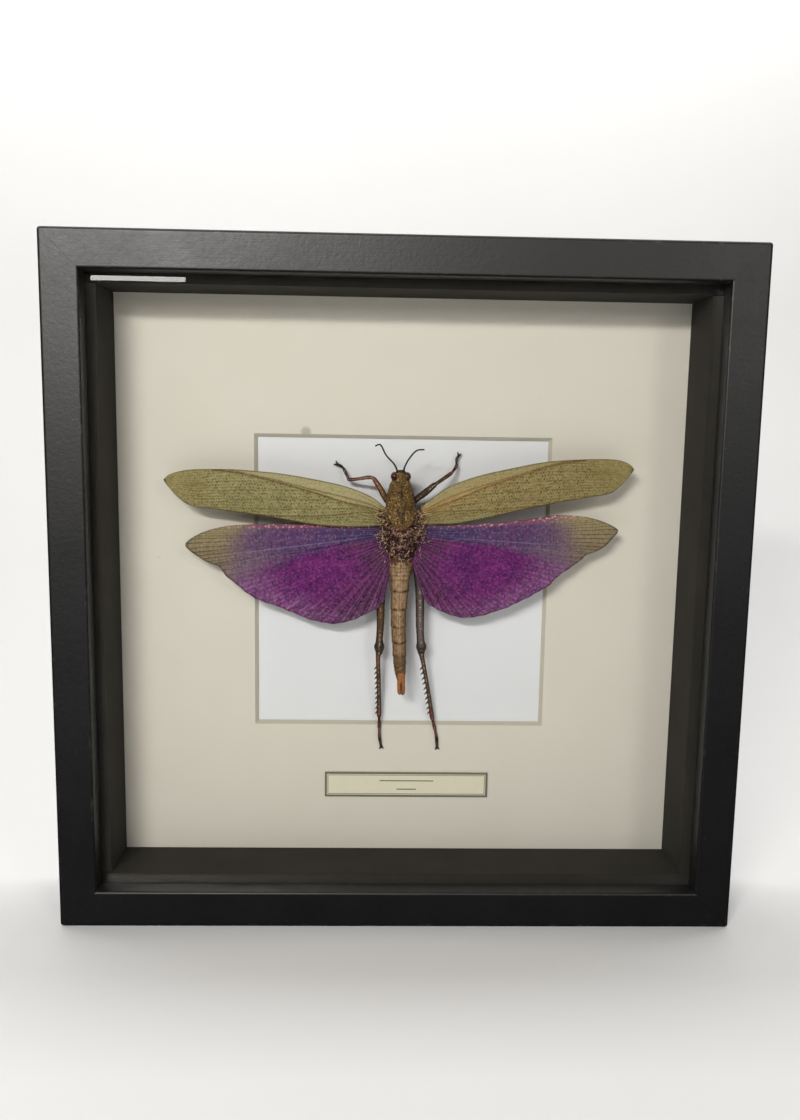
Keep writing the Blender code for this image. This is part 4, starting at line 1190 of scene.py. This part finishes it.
# The hindwings are wide thin fans, pleated along rays from the thorax. The fan is vivid purple,
# the stiffer front is slate violet with a pink front edge, and the tip fades to netted olive.
HINDWINGS = {
    "left": (
        ((-5.5, 28.4), (-3.5, 16.0)),
        ((-65.6, 28.2), (-78.3, 27.2), (-87.7, 24.9), (-94.1, 21.9), (-97.7, 18.6),
         (-95.5, 15.5), (-91.1, 12.3), (-86.3, 10.0), (-82.9, 8.6), (-79.1, 4.1),
         (-73.4, -0.7), (-66.4, -5.8), (-59.4, -8.3), (-51.7, -11.2), (-43.3, -14.7),
         (-35.6, -16.7), (-28.5, -17.0), (-22.1, -15.4), (-16.3, -12.7), (-11.2, -10.0),
         (-7.7, -6.1)),
        0.0, 0.38,
    ),
    "right": (
        ((5.0, 28.6), (2.5, 16.0)),
        ((69.9, 34.2), (81.1, 33.8), (89.7, 32.0), (95.8, 29.5), (98.5, 27.3), (96.7, 24.5),
         (92.9, 20.5), (89.0, 17.8), (84.2, 16.1), (82.0, 13.7), (77.5, 10.3), (73.6, 7.6),
         (67.2, 1.5), (60.1, -2.9), (51.6, -7.4), (43.1, -10.8), (33.1, -13.5),
         (25.2, -13.2), (18.5, -10.8), (13.8, -8.4), (10.5, -5.2), (8.6, 2.0)),
        -1.5, 0.345,
    ),
}
HINDWING_DEPTH = 25.4
HINDWING_DROOP = 2.0
PLEATS = 26
PLEAT = 0.45
FAN_GRID = (118, 417)
ZONES = ("slate", "tip", "band", "plum", "margin")


def hindwing_grid(root, edge, bow):
    """Rays ruled from the root to the outer edge, pleated up and down by turns. The pleats die
    out to the front, and the trailing edge is scalloped between them."""
    rows, columns = FAN_GRID
    flat = ruled(smooth_line(root, columns), smooth_line(edge, columns), rows)
    out = np.broadcast_to(np.linspace(0, 1, rows)[:, None], (rows, columns))
    turn = np.broadcast_to(np.linspace(0, 1, columns)[None, :], (rows, columns))
    flat[..., 1] += bow * 4 * out * (1 - out) * (1 - turn) ** 3
    fold = np.cos(turn * PLEATS * math.pi)
    strength = np.minimum(1, 4 * turn)
    depth = HINDWING_DEPTH + HINDWING_DROOP * out**1.3 + PLEAT * fold * out * strength
    middle = flat.mean(axis=(0, 1))
    scallop = 0.35 * rise(out, 0.9, 1.0) * (np.abs(fold) - 0.6) * rise(turn, 0.36, 0.42)
    flat = flat + (flat - middle) * 0.02 * scallop[..., None]
    points = np.dstack([flat, depth])
    reach = np.linalg.norm(flat - flat[:1], axis=-1)
    return points, np.dstack([turn * PLEATS, reach]), out, turn


def hindwing_masks(points, out, turn, notch):
    """Where the wing is slate instead of purple, netted olive at the tip, banded with pink along
    the front edge, plum beside the body, and pale at the margin of the fan."""
    cloud = lumps(points, 5.0, 30)
    small = lumps(points, 1.6, 31)
    share = turn / notch
    border = 1.0 + 0.12 * rise(out, 0.4, 1.0) + 0.03 * cloud + 0.02 * small
    slate = rise(border - share, -0.05 - 0.14 * out, 0.05 + 0.03 * out)
    span = np.abs(points[..., 0] - points[:1, :, 0])
    span = span / span.max()
    tip = rise(span + 0.02 * cloud + 0.012 * small - 0.1 * share, 0.6, 0.8)
    band = rise(share, 0.44, 0.16) * rise(out, 0.02, 0.3) * rise(small, -1.0, 0.0)
    plum = np.clip(rise(turn, 0.6, 0.95) + rise(out, 0.4, 0.1), 0, 1)
    margin = rise(out, 0.72, 0.97) * (1 - slate)
    return share, slate, tip, band, plum, margin, cloud, small


def hindwing_tint(out, masks):
    """The zones' colours, with a dark front rim, a pale vein, a dark fold and a misty margin."""
    share, slate, tip, band, plum, margin, cloud, small = masks
    slates = layered(
        blend(paint(110, 72, 112), paint(74, 56, 100), 0.5 + 0.6 * small + 0.2 * cloud),
        ((72, 66, 112), 0.7 * rise(out, 0.5, 0.1)),
        ((122, 104, 112), 0.7 * rise(out, 0.5, 0.9)))
    grey = rise(out + 0.04 * cloud, 0.62, 1.0) * rise(share, 1.6, 1.05)
    purples = layered(
        blend(paint(132, 48, 124), paint(90, 34, 98), 0.5 + 0.4 * small + 0.4 * cloud),
        ((116, 82, 114), 0.8 * grey))
    zones = layered(
        blend(purples, slates, slate),
        ((152, 104, 148), 0.64 * margin * (0.7 + 0.5 * small)),
        ((96, 62, 86), 0.75 * plum * (1 - slate) * (0.8 + 0.4 * small)),
        ((146, 84, 104), 0.85 * band))
    olive = blend(paint(139, 123, 93), paint(164, 149, 105), rise(share, 0.9, 0.2))
    pale = near(share, 0.84 - 0.02 * out, 0.008) * rise(out, 0.12, 0.3) * rise(out, 0.9, 0.6)
    second = near(share, 0.94 + 0.05 * out, 0.007) * rise(out, 0.4, 0.6) * rise(out, 0.98, 0.85)
    fold = near(share, 0.98 - 0.12 * rise(out, 0.4, 0.0), 0.022) * rise(out, 0.7, 0.3)
    upper = near(share, 0.55, 0.02) * rise(out, 0.55, 0.2)
    return layered(
        blend(zones, olive, 0.95 * tip),
        ((150, 140, 176), 0.6 * pale),
        ((152, 140, 160), 0.5 * second),
        ((34, 30, 60), 0.85 * fold),
        ((48, 34, 66), 0.6 * upper),
        ((64, 26, 36), 0.9 * rise(share, 0.05, 0.025)),
        ((56, 32, 48), 0.7 * rise(out, 0.16, 0.0)),
        ((62, 46, 54), 0.85 * rise(out, 0.985, 0.997)))


def pleated_violet():
    """The wing's own tint. The fan has dark rays with broken chevrons between them and pale vein
    ends at its margin; the stiff front has ladder-like cross veins, and the tip fine lines."""
    material, body = new_finish("pleated_violet", Specular_IOR_Level=0.06)
    chart = body.spot("UV")
    tint = body.field("tint", "Color")
    slate, tip, band, plum, margin = (body.field(name) for name in ZONES)
    ray, reach = chart.part(0), chart.part(1)
    fan = 1 - slate
    fine = body.noise(0.0008)
    sway = body.noise(0.003)
    across = abs(ray.maths("FRACT", ray * 2.0) - 0.5)
    spoke = abs(ray.maths("FRACT", ray * 0.8 + sway * 0.3) - 0.5)
    chevron = reach / 1.5 + across * 1.5 + sway * 2.0
    bar = abs(chevron.maths("FRACT", chevron) - 0.5).step(0.1, 0.4)
    blot = body.noise(0.0014, detail=2.0)
    lines = abs(ray.maths("FRACT", ray * 2.0 + sway * 0.5) - 0.5).step(0.34, 0.5)
    rungs = reach / 1.6 + sway * 1.5
    rung = abs(rungs.maths("FRACT", rungs) - 0.5).step(0.3, 0.47)
    speck = body.cells(0.0016, 0.0014, 0.0014).step(0.42, 0.22)
    colour = (bar * blot.step(0.35, 0.6) * fan * 0.8).shade(tint, 0.52)
    colour = (blot.step(0.46, 0.64) * (0.35 + fan * 0.2)).shade(colour, 0.5)
    colour = (rung * slate * (1 - tip) * blot.step(0.4, 0.6) * 0.7).shade(colour, 0.5)
    colour = (lines * (tip * 0.95 + plum * 0.8 + slate * 0.2)).shade(colour, 0.32)
    colour = (spoke.step(0.3, 0.48) * plum * 0.7).shade(colour, 0.36)
    colour = (spoke.step(0.14, 0.03) * plum * 0.3).mix(colour, paint(140, 96, 122))
    colour = (rung * tip * 0.3).shade(colour, 0.5)
    colour = (across.step(0.4, 0.48) * fan * 0.55).shade(colour, 0.4)
    colour = (across.step(0.1, 0.03) * margin * blot.step(0.55, 0.4) * 0.7).mix(
        colour, paint(176, 128, 172))
    colour = (speck * (band * 0.9 + slate * 0.14 + fan * 0.08)).mix(colour, paint(208, 160, 160))
    return feed(material, colour, fine * 0.2 + 0.5, (rung * 0.3 + fine * 0.4).relief(0.1, 0.5))


violet = pleated_violet()
for side, (root, edge, bow, notch) in HINDWINGS.items():
    points, chart, out, turn = hindwing_grid(root, edge, bow)
    masks = hindwing_masks(points, out, turn, notch)
    fields = {name: twice(mask) for name, mask in zip(ZONES, masks[1:6])}
    both, faces = leaf(points, WING_SHEET)
    wing = make_piece(f"pleated_hindwing_{side}", both, faces, violet, uv=twice(chart, 2),
                      crease=80.0, tint=twice(hindwing_tint(out, masks), 3), **fields)
    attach(wing, "root")
    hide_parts(f"hindwing_{side}")


# The legs are hard jointed tubes. The front pair reaches forwards, the middle pair is folded out
# of sight under the wings, and the hind pair, with thorned shins, lies straight back.
LEGS = {
    "foreleg_left": (
        (-4.5, 36.5, 31.5, 1.3), (-7.4, 40.1, 30.0, 1.35), (-10.3, 45.2, 28.0, 1.2),
        (-12.6, 48.7, 26.9, 1.0), (-13.6, 49.7, 26.7, 0.75), (-15.7, 49.9, 27.5, 0.85),
        (-20.3, 49.0, 31.0, 0.7), (-24.2, 48.5, 34.2, 0.8), (-24.9, 49.2, 34.8, 0.55),
        (-26.6, 52.6, 36.5, 0.68), (-27.2, 53.6, 36.8, 0.45), (-28.4, 54.6, 37.2, 0.6),
        (-30.0, 55.3, 37.4, 0.5),
    ),
    "foreleg_right": (
        (4.0, 37.0, 31.5, 1.3), (5.9, 39.9, 30.0, 1.3), (10.1, 43.4, 28.5, 1.45),
        (13.9, 46.7, 27.3, 1.15), (15.1, 47.6, 27.4, 0.8), (18.2, 49.6, 29.5, 0.8),
        (21.8, 51.9, 32.6, 0.85), (22.6, 52.5, 33.4, 0.55), (24.6, 55.3, 36.0, 0.72),
        (24.7, 56.6, 36.7, 0.45), (24.8, 58.4, 37.2, 0.6), (25.7, 60.0, 37.4, 0.5),
    ),
    "midleg_left": (
        (-5.0, 25.0, 31.5, 1.3), (-9.5, 25.5, 31.0, 1.3), (-14.0, 24.0, 31.0, 1.2),
        (-17.6, 22.0, 31.4, 1.0), (-18.4, 18.0, 32.4, 0.8), (-17.0, 10.0, 35.4, 0.75),
        (-16.0, 4.5, 37.6, 0.65), (-15.6, 0.0, 38.3, 0.5),
    ),
    "hindleg_left": (
        (-5.0, 17.0, 31.0, 1.6), (-8.2, 13.0, 30.6, 1.75), (-8.9, 2.0, 30.5, 1.85),
        (-9.2, -9.0, 30.5, 1.8), (-9.3, -19.2, 30.8, 1.6), (-9.6, -25.2, 31.0, 1.55),
        (-9.6, -28.6, 31.2, 2.2), (-9.7, -31.2, 31.5, 1.6), (-10.1, -34.1, 31.9, 1.0),
        (-9.7, -45.1, 33.4, 0.95), (-9.4, -55.2, 35.0, 0.95), (-9.3, -62.6, 36.1, 1.02),
        (-9.25, -64.4, 36.2, 0.6), (-9.1, -68.9, 36.4, 0.82), (-9.05, -70.2, 36.4, 0.55),
        (-8.9, -74.2, 36.4, 0.7), (-8.1, -78.4, 36.6, 0.5),
    ),
    "hindleg_right": (
        (4.6, 17.0, 31.0, 1.6), (6.6, 12.0, 30.6, 1.75), (8.4, 0.0, 30.5, 1.9),
        (8.9, -9.0, 30.5, 1.9), (9.1, -19.0, 30.8, 1.75), (9.5, -25.0, 31.0, 1.65),
        (9.9, -28.4, 31.2, 2.25), (10.0, -31.0, 31.5, 1.6), (10.6, -34.5, 31.9, 1.0),
        (13.1, -46.8, 33.4, 0.86), (14.7, -56.0, 35.0, 0.86), (15.9, -63.6, 36.0, 0.98),
        (16.3, -65.4, 36.2, 0.6), (17.3, -69.2, 36.4, 0.82), (17.6, -70.6, 36.4, 0.55),
        (18.3, -74.2, 36.4, 0.7), (18.6, -78.6, 36.6, 0.5),
    ),
}
LEGS["midleg_right"] = tuple((-x, up, depth, radius)
                             for x, up, depth, radius in LEGS["midleg_left"])
LEG_COLOURS = {
    "foreleg_left": (
        (0.0, 96, 68, 42), (0.3, 140, 92, 58), (0.4, 136, 76, 50), (0.46, 128, 92, 74),
        (0.62, 136, 100, 82), (0.7, 110, 50, 42), (0.78, 60, 28, 26), (0.86, 26, 18, 18),
        (1.0, 14, 12, 12),
    ),
    "foreleg_right": (
        (0.0, 60, 46, 32), (0.4, 84, 64, 42), (0.5, 84, 60, 44), (0.66, 100, 64, 50),
        (0.78, 84, 34, 34), (1.0, 20, 15, 15),
    ),
    "midleg_left": ((0.0, 80, 60, 36), (0.7, 96, 62, 42), (1.0, 20, 16, 16)),
    "hindleg_left": (
        (0.0, 70, 50, 40), (0.3, 104, 70, 46), (0.44, 94, 67, 42), (0.48, 60, 50, 40),
        (0.5, 58, 48, 42), (0.54, 128, 78, 44), (0.6, 90, 62, 36), (0.76, 82, 59, 32),
        (0.82, 124, 52, 40), (0.85, 70, 28, 24), (0.92, 122, 54, 48), (0.955, 40, 22, 22),
        (1.0, 16, 13, 13),
    ),
    "hindleg_right": (
        (0.0, 56, 40, 38), (0.3, 106, 90, 86), (0.44, 114, 98, 94), (0.48, 58, 48, 42),
        (0.5, 56, 48, 44), (0.54, 104, 68, 44), (0.6, 88, 66, 44), (0.76, 84, 62, 38),
        (0.82, 122, 52, 40), (0.85, 66, 28, 24), (0.92, 120, 54, 48), (0.955, 40, 22, 22),
        (1.0, 16, 13, 13),
    ),
}
LEG_COLOURS["midleg_right"] = LEG_COLOURS["midleg_left"]
CLAW = 1.9
THORNS = 10
THORN_RUN = (-38.0, -60.5)
THORN_LENGTH = 2.5
THORN_LEAN = np.array([-0.78, -0.62, 0.0])


def colour_along(stops, share):
    """Colours between stops (share, screen colour), where share runs from 0 to 1 along a limb."""
    table = np.array([paint(*stop[1:])[:3] for stop in stops])
    places = [stop[0] for stop in stops]
    return np.stack([np.interp(share, places, column) for column in table.T], axis=-1)


def claw_grids(tip, heading):
    """Two hooked claws that part from the end of a foot and bend down to the card."""
    across = np.array([heading[1], -heading[0], 0.0])
    across /= np.linalg.norm(across)
    grids = []
    for side in (-1, 1):
        out = heading * 0.75 + across * side * 0.55
        hook = [(*(tip - heading * 0.4), 0.42), (*(tip + out * CLAW * 0.5), 0.38),
                (*(tip + out * CLAW * 0.85 + np.array([0, 0, 0.35])), 0.2),
                (*(tip + out * CLAW + across * side * 0.2 + np.array([0, 0, 0.8])), 0.06)]
        grids.append(limb_grid(hook, 14, 8))
    return grids


def thorn_grids(points):
    """A row of thorns down one side of a shin, each a slim cone that leans to the foot."""
    line = smooth_line([point[:3] for point in points], 400)
    grids = []
    for height in np.linspace(*THORN_RUN, THORNS):
        foot = line[np.argmin(abs(line[:, 1] - height))]
        lean = THORN_LEAN * THORN_LENGTH
        tip = foot + lean + np.array([0.0, -0.25, 0.0])
        grids.append(limb_grid([(*foot, 0.55), (*(foot + lean * 0.6), 0.36), (*tip, 0.08)], 10, 8))
    return grids


def leg_grid(points):
    """The leg's tube with six low ridges along it and lumps at the joints. Also gives how much of
    each point is the paler flank between two ridges, and how much it lies on the sides of the tube
    as seen from the front, which are painted dark as painted shade."""
    grid = limb_grid(points, 300, 30)
    centre = grid[:, :-1].mean(axis=1, keepdims=True)
    angle = np.linspace(0, 2 * math.pi, grid.shape[1])[None, :]
    wave = np.cos(6 * angle)
    ridge = 0.06 * wave + 0.06 * lumps(grid, 0.8, 40)
    pearls = rise(lumps(grid * [1, 1.6, 1], 0.55, 41), 0.1, 0.5)
    # The sides of the tube as seen from the front, to be painted dark as painted shade.
    edge = rise(np.abs(np.cos(angle)), 0.4, 0.85) + 0 * ridge
    return centre + (grid - centre) * (1 + ridge)[..., None], rise(-wave, 0.2, 0.9) * pearls, edge


leg_finish = tinted("leg_shell", 0.0007, 0.06, 0.35, Specular_IOR_Level=0.14)
for name, points in LEGS.items():
    grid, flank, edge = leg_grid(points)
    share = np.broadcast_to(np.linspace(0, 1, grid.shape[0])[:, None], grid.shape[:2])
    tint = blend(colour_along(LEG_COLOURS[name], share), paint(206, 184, 160), 0.8 * flank)
    # Painted shade: the tube's sides, as seen from the front, are darkened to near black.
    tint = blend(tint, paint(26, 17, 15), 0.85 * edge)
    leg = make_piece(f"jointed_{name}", grid, None, leg_finish, crease=60.0, tint=tint)
    line = smooth_line([point[:3] for point in points], 60)
    heading = (line[-1] - line[-6]) / np.linalg.norm(line[-1] - line[-6])
    claws, claw_faces = join_grids(claw_grids(line[-1], heading))
    feet = make_piece(f"claws_{name}", claws, claw_faces, thread)
    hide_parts(name)
    pieces = [leg, feet]
    if name.startswith("hindleg"):
        thorns, thorn_faces = join_grids(thorn_grids(points))
        colour = layered(paint(96, 60, 34), ((18, 12, 10), np.full(len(thorns), 0.85)))
        pieces.append(make_piece(f"thorns_{name}", thorns, thorn_faces, leg_finish, tint=colour))
    for piece in pieces:
        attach(piece, "root")


# Dry golden-brown hair grows in tufts at the four wing bases, as a mat over the back of the
# thorax and as a fringe behind it. Each hair is a tapering bristle with a bend in it.
HAIR_RINGS = 5
HAIR_SIDES = 3
HAIR_SEED = 23
TUFTS = (
    (46, (-8.4, 32.0, 22.2), (1.5, 1.9, 0.5), (-0.8, 0.1, -0.25), (1.6, 3.2), 0.27),
    (46, (7.8, 32.2, 22.2), (1.5, 1.9, 0.5), (0.8, 0.1, -0.25), (1.6, 3.2), 0.27),
    (52, (-7.8, 25.2, 22.4), (1.5, 2.6, 0.5), (-0.8, -0.3, -0.3), (1.5, 3.0), 0.27),
    (52, (7.4, 25.4, 22.4), (1.5, 2.6, 0.5), (0.8, -0.3, -0.3), (1.5, 3.0), 0.27),
    (64, (-0.3, 20.5, 21.0), (4.4, 2.8, 0.3), (0.0, -0.5, -0.5), (1.2, 2.4), 0.3),
    (28, (-0.4, 13.6, 22.3), (3.0, 1.0, 0.2), (0.0, -0.8, -0.4), (1.0, 1.8), 0.24),
)


def hair_points(roots, headings, lengths, bends, thick):
    """Many tapering bristles at once: each follows a parabola from its root, starting along its
    heading and bending aside, and its three-sided section shrinks to the tip."""
    share = np.linspace(0, 1, HAIR_RINGS)[None, :, None]
    middle = (roots[:, None] + headings[:, None] * lengths[:, None, None] * share
              + bends[:, None] * lengths[:, None, None] * share**2)
    side = np.cross(headings, bends + np.array([1e-4, 2e-4, 3e-4]))
    side /= np.linalg.norm(side, axis=1)[:, None]
    other = np.cross(headings, side)
    angle = np.linspace(0, 2 * math.pi, HAIR_SIDES, endpoint=False)
    ring = (side[:, None, None] * np.cos(angle)[None, None, :, None]
            + other[:, None, None] * np.sin(angle)[None, None, :, None])
    radius = thick[:, None, None, None] * (1 - 0.85 * share[..., None])
    return middle[:, :, None] + ring * radius


def hair_faces(count):
    """The sides and the two ends of every bristle."""
    number = np.arange(count * HAIR_RINGS * HAIR_SIDES).reshape(count, HAIR_RINGS, HAIR_SIDES)
    after = np.roll(number, -1, axis=2)
    sides = np.stack([number[:, :-1], after[:, :-1], after[:, 1:], number[:, 1:]], axis=-1)
    return [sides.reshape(-1, 4), number[:, 0, ::-1], number[:, -1]]


def tuft(random, count, centre, spread, away, length, thick):
    """Bristles rooted about a centre and combed away from the middle of the body."""
    roots = np.asarray(centre) + random.normal(0, 1, (count, 3)) * spread
    headings = np.asarray(away) + random.normal(0, 0.7, (count, 3))
    headings /= np.linalg.norm(headings, axis=1)[:, None]
    bends = random.normal(0, 0.6, (count, 3)) + np.array([0, 0, 0.15])
    lengths = random.uniform(*length, count)
    return hair_points(roots, headings, lengths, bends, random.uniform(0.6, 1.0, count) * thick)


def golden_hair():
    """Straw gold to brown, changing from bristle to bristle."""
    material, body = new_finish("golden_hair", Specular_IOR_Level=0.25)
    cloud = body.noise(0.0012)
    return feed(material, cloud.step(0.46, 0.56).mix(paint(80, 44, 38), paint(234, 196, 154)),
                cloud * 0.2 + 0.35)


random = np.random.default_rng(HAIR_SEED)
coat_points = np.concatenate([tuft(random, *row) for row in TUFTS])
coat = make_piece("golden_hair_coat", coat_points, hair_faces(len(coat_points)), golden_hair(),
                  crease=180.0)
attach(coat, "root")


# The case stands on a pale floor that sweeps up behind it. A long lamp, high and to the left of
# the camera, and a weaker one to the right light it. The lower edge of a third one, at the far
# left, shows as a streak in the glass, and a lamp above the case lights the sweep.
FLOOR_FRONT = -2.4
WALL_Y = 0.55
WALL_TOP = 2.6
STAGE_HALF = 2.2
SWEEP = 0.35
ROOM = (0.9, 0.93, 1.0, 1.0)
ROOM_STRENGTH = 0.05
WHITE = (1.0, 1.0, 1.0)
WARM = (1.0, 0.97, 0.94)
CASE_MIDDLE = (0.0, 0.0, 0.15)
LAMPS = (
    ("key_lamp", (0.48, 0.06), 7.6, (-0.355, -1.0, 0.67), CASE_MIDDLE, WARM),
    ("right_lamp", (0.3, 0.56), 4.0, (0.87, -1.49, 0.68), CASE_MIDDLE, WARM),
    ("left_lamp", (0.26, 0.2), 1.9, (-0.407, -0.929, 0.524), (-0.407, 0.0, 0.524), WARM),
    ("sweep_lamp", (1.6, 0.2), 8.0, (0.0, 0.16, 1.1), (0.0, WALL_Y, 0.15), WHITE),
)


def sweep_points():
    """A floor that turns up through a quarter circle into a wall, flat in x."""
    turn = np.linspace(0, math.pi / 2, 17)
    y = np.concatenate([[FLOOR_FRONT], WALL_Y - SWEEP + SWEEP * np.sin(turn), [WALL_Y]])
    z = np.concatenate([[0.0], SWEEP * (1 - np.cos(turn)), [WALL_TOP]])
    x, y = np.meshgrid(np.linspace(-STAGE_HALF, STAGE_HALF, 9), y)
    return np.dstack([x, y, np.broadcast_to(z[:, None], x.shape)])


def pale_paper():
    """Matt off-white paper with the faintest mottle."""
    material, body = new_finish("pale_paper", Specular_IOR_Level=0.2, Roughness=0.9)
    cloud = body.noise(0.4)
    return feed(material, cloud.mix(paint(236, 236, 235), paint(242, 242, 241)))


def add_lamp(name, size, power, where, aim, colour):
    """A rectangular lamp in metres that faces a point."""
    data = bpy.data.lights.new(name, "AREA")
    data.shape = "RECTANGLE"
    data.size, data.size_y = size
    data.energy = power
    data.color = colour
    lamp = bpy.data.objects.new(name, data)
    bpy.context.scene.collection.objects.link(lamp)
    lamp.location = where
    direction = np.asarray(aim) - np.asarray(where)
    lamp.rotation_euler = (math.atan2(np.hypot(*direction[:2]), -direction[2]), 0,
                           math.atan2(direction[1], direction[0]) - math.pi / 2)


sweep = sweep_points()
floor_mesh = bpy.data.meshes.new("paper_sweep")
floor_mesh.from_pydata(sweep.reshape(-1, 3).tolist(), [], grid_faces(*sweep.shape[:2]).tolist())
floor_mesh.shade_smooth()
floor_mesh.materials.append(pale_paper())
floor = bpy.data.objects.new("paper_sweep", floor_mesh)
bpy.context.scene.collection.objects.link(floor)
floor.visible_glossy = False

for lamp in LAMPS:
    add_lamp(*lamp)

world = bpy.data.worlds.new("studio")
world.use_nodes = True
world.node_tree.nodes["Background"].inputs["Color"].default_value = ROOM
world.node_tree.nodes["Background"].inputs["Strength"].default_value = ROOM_STRENGTH
bpy.context.scene.world = world
bpy.context.scene.view_settings.view_transform = "Standard"


# The camera stands a little above the middle of the case and close to it, tipped down and
# turned slightly, as the photographer held it.
CAMERA_PLACE = (-0.01228, -0.41175, 0.21818)
CAMERA_RIGHT = (0.99954, -0.02562, 0.01624)
CAMERA_UP = (-0.01269, 0.13308, 0.99102)
CAMERA_BACK = (-0.02755, -0.99077, 0.13269)
FOCAL_LENGTH = 29.56
SENSOR_WIDTH = 36.0
NEAREST = 0.01
camera_data = bpy.data.cameras.new("camera")
camera_data.lens = FOCAL_LENGTH
camera_data.sensor_width = SENSOR_WIDTH
camera_data.clip_start = NEAREST
camera = bpy.data.objects.new("camera", camera_data)
bpy.context.scene.collection.objects.link(camera)
axes = zip(CAMERA_RIGHT, CAMERA_UP, CAMERA_BACK, CAMERA_PLACE)
camera.matrix_world = Matrix([*axes, (0.0, 0.0, 0.0, 1.0)])
bpy.context.scene.camera = camera

bpy.context.view_layer.update()
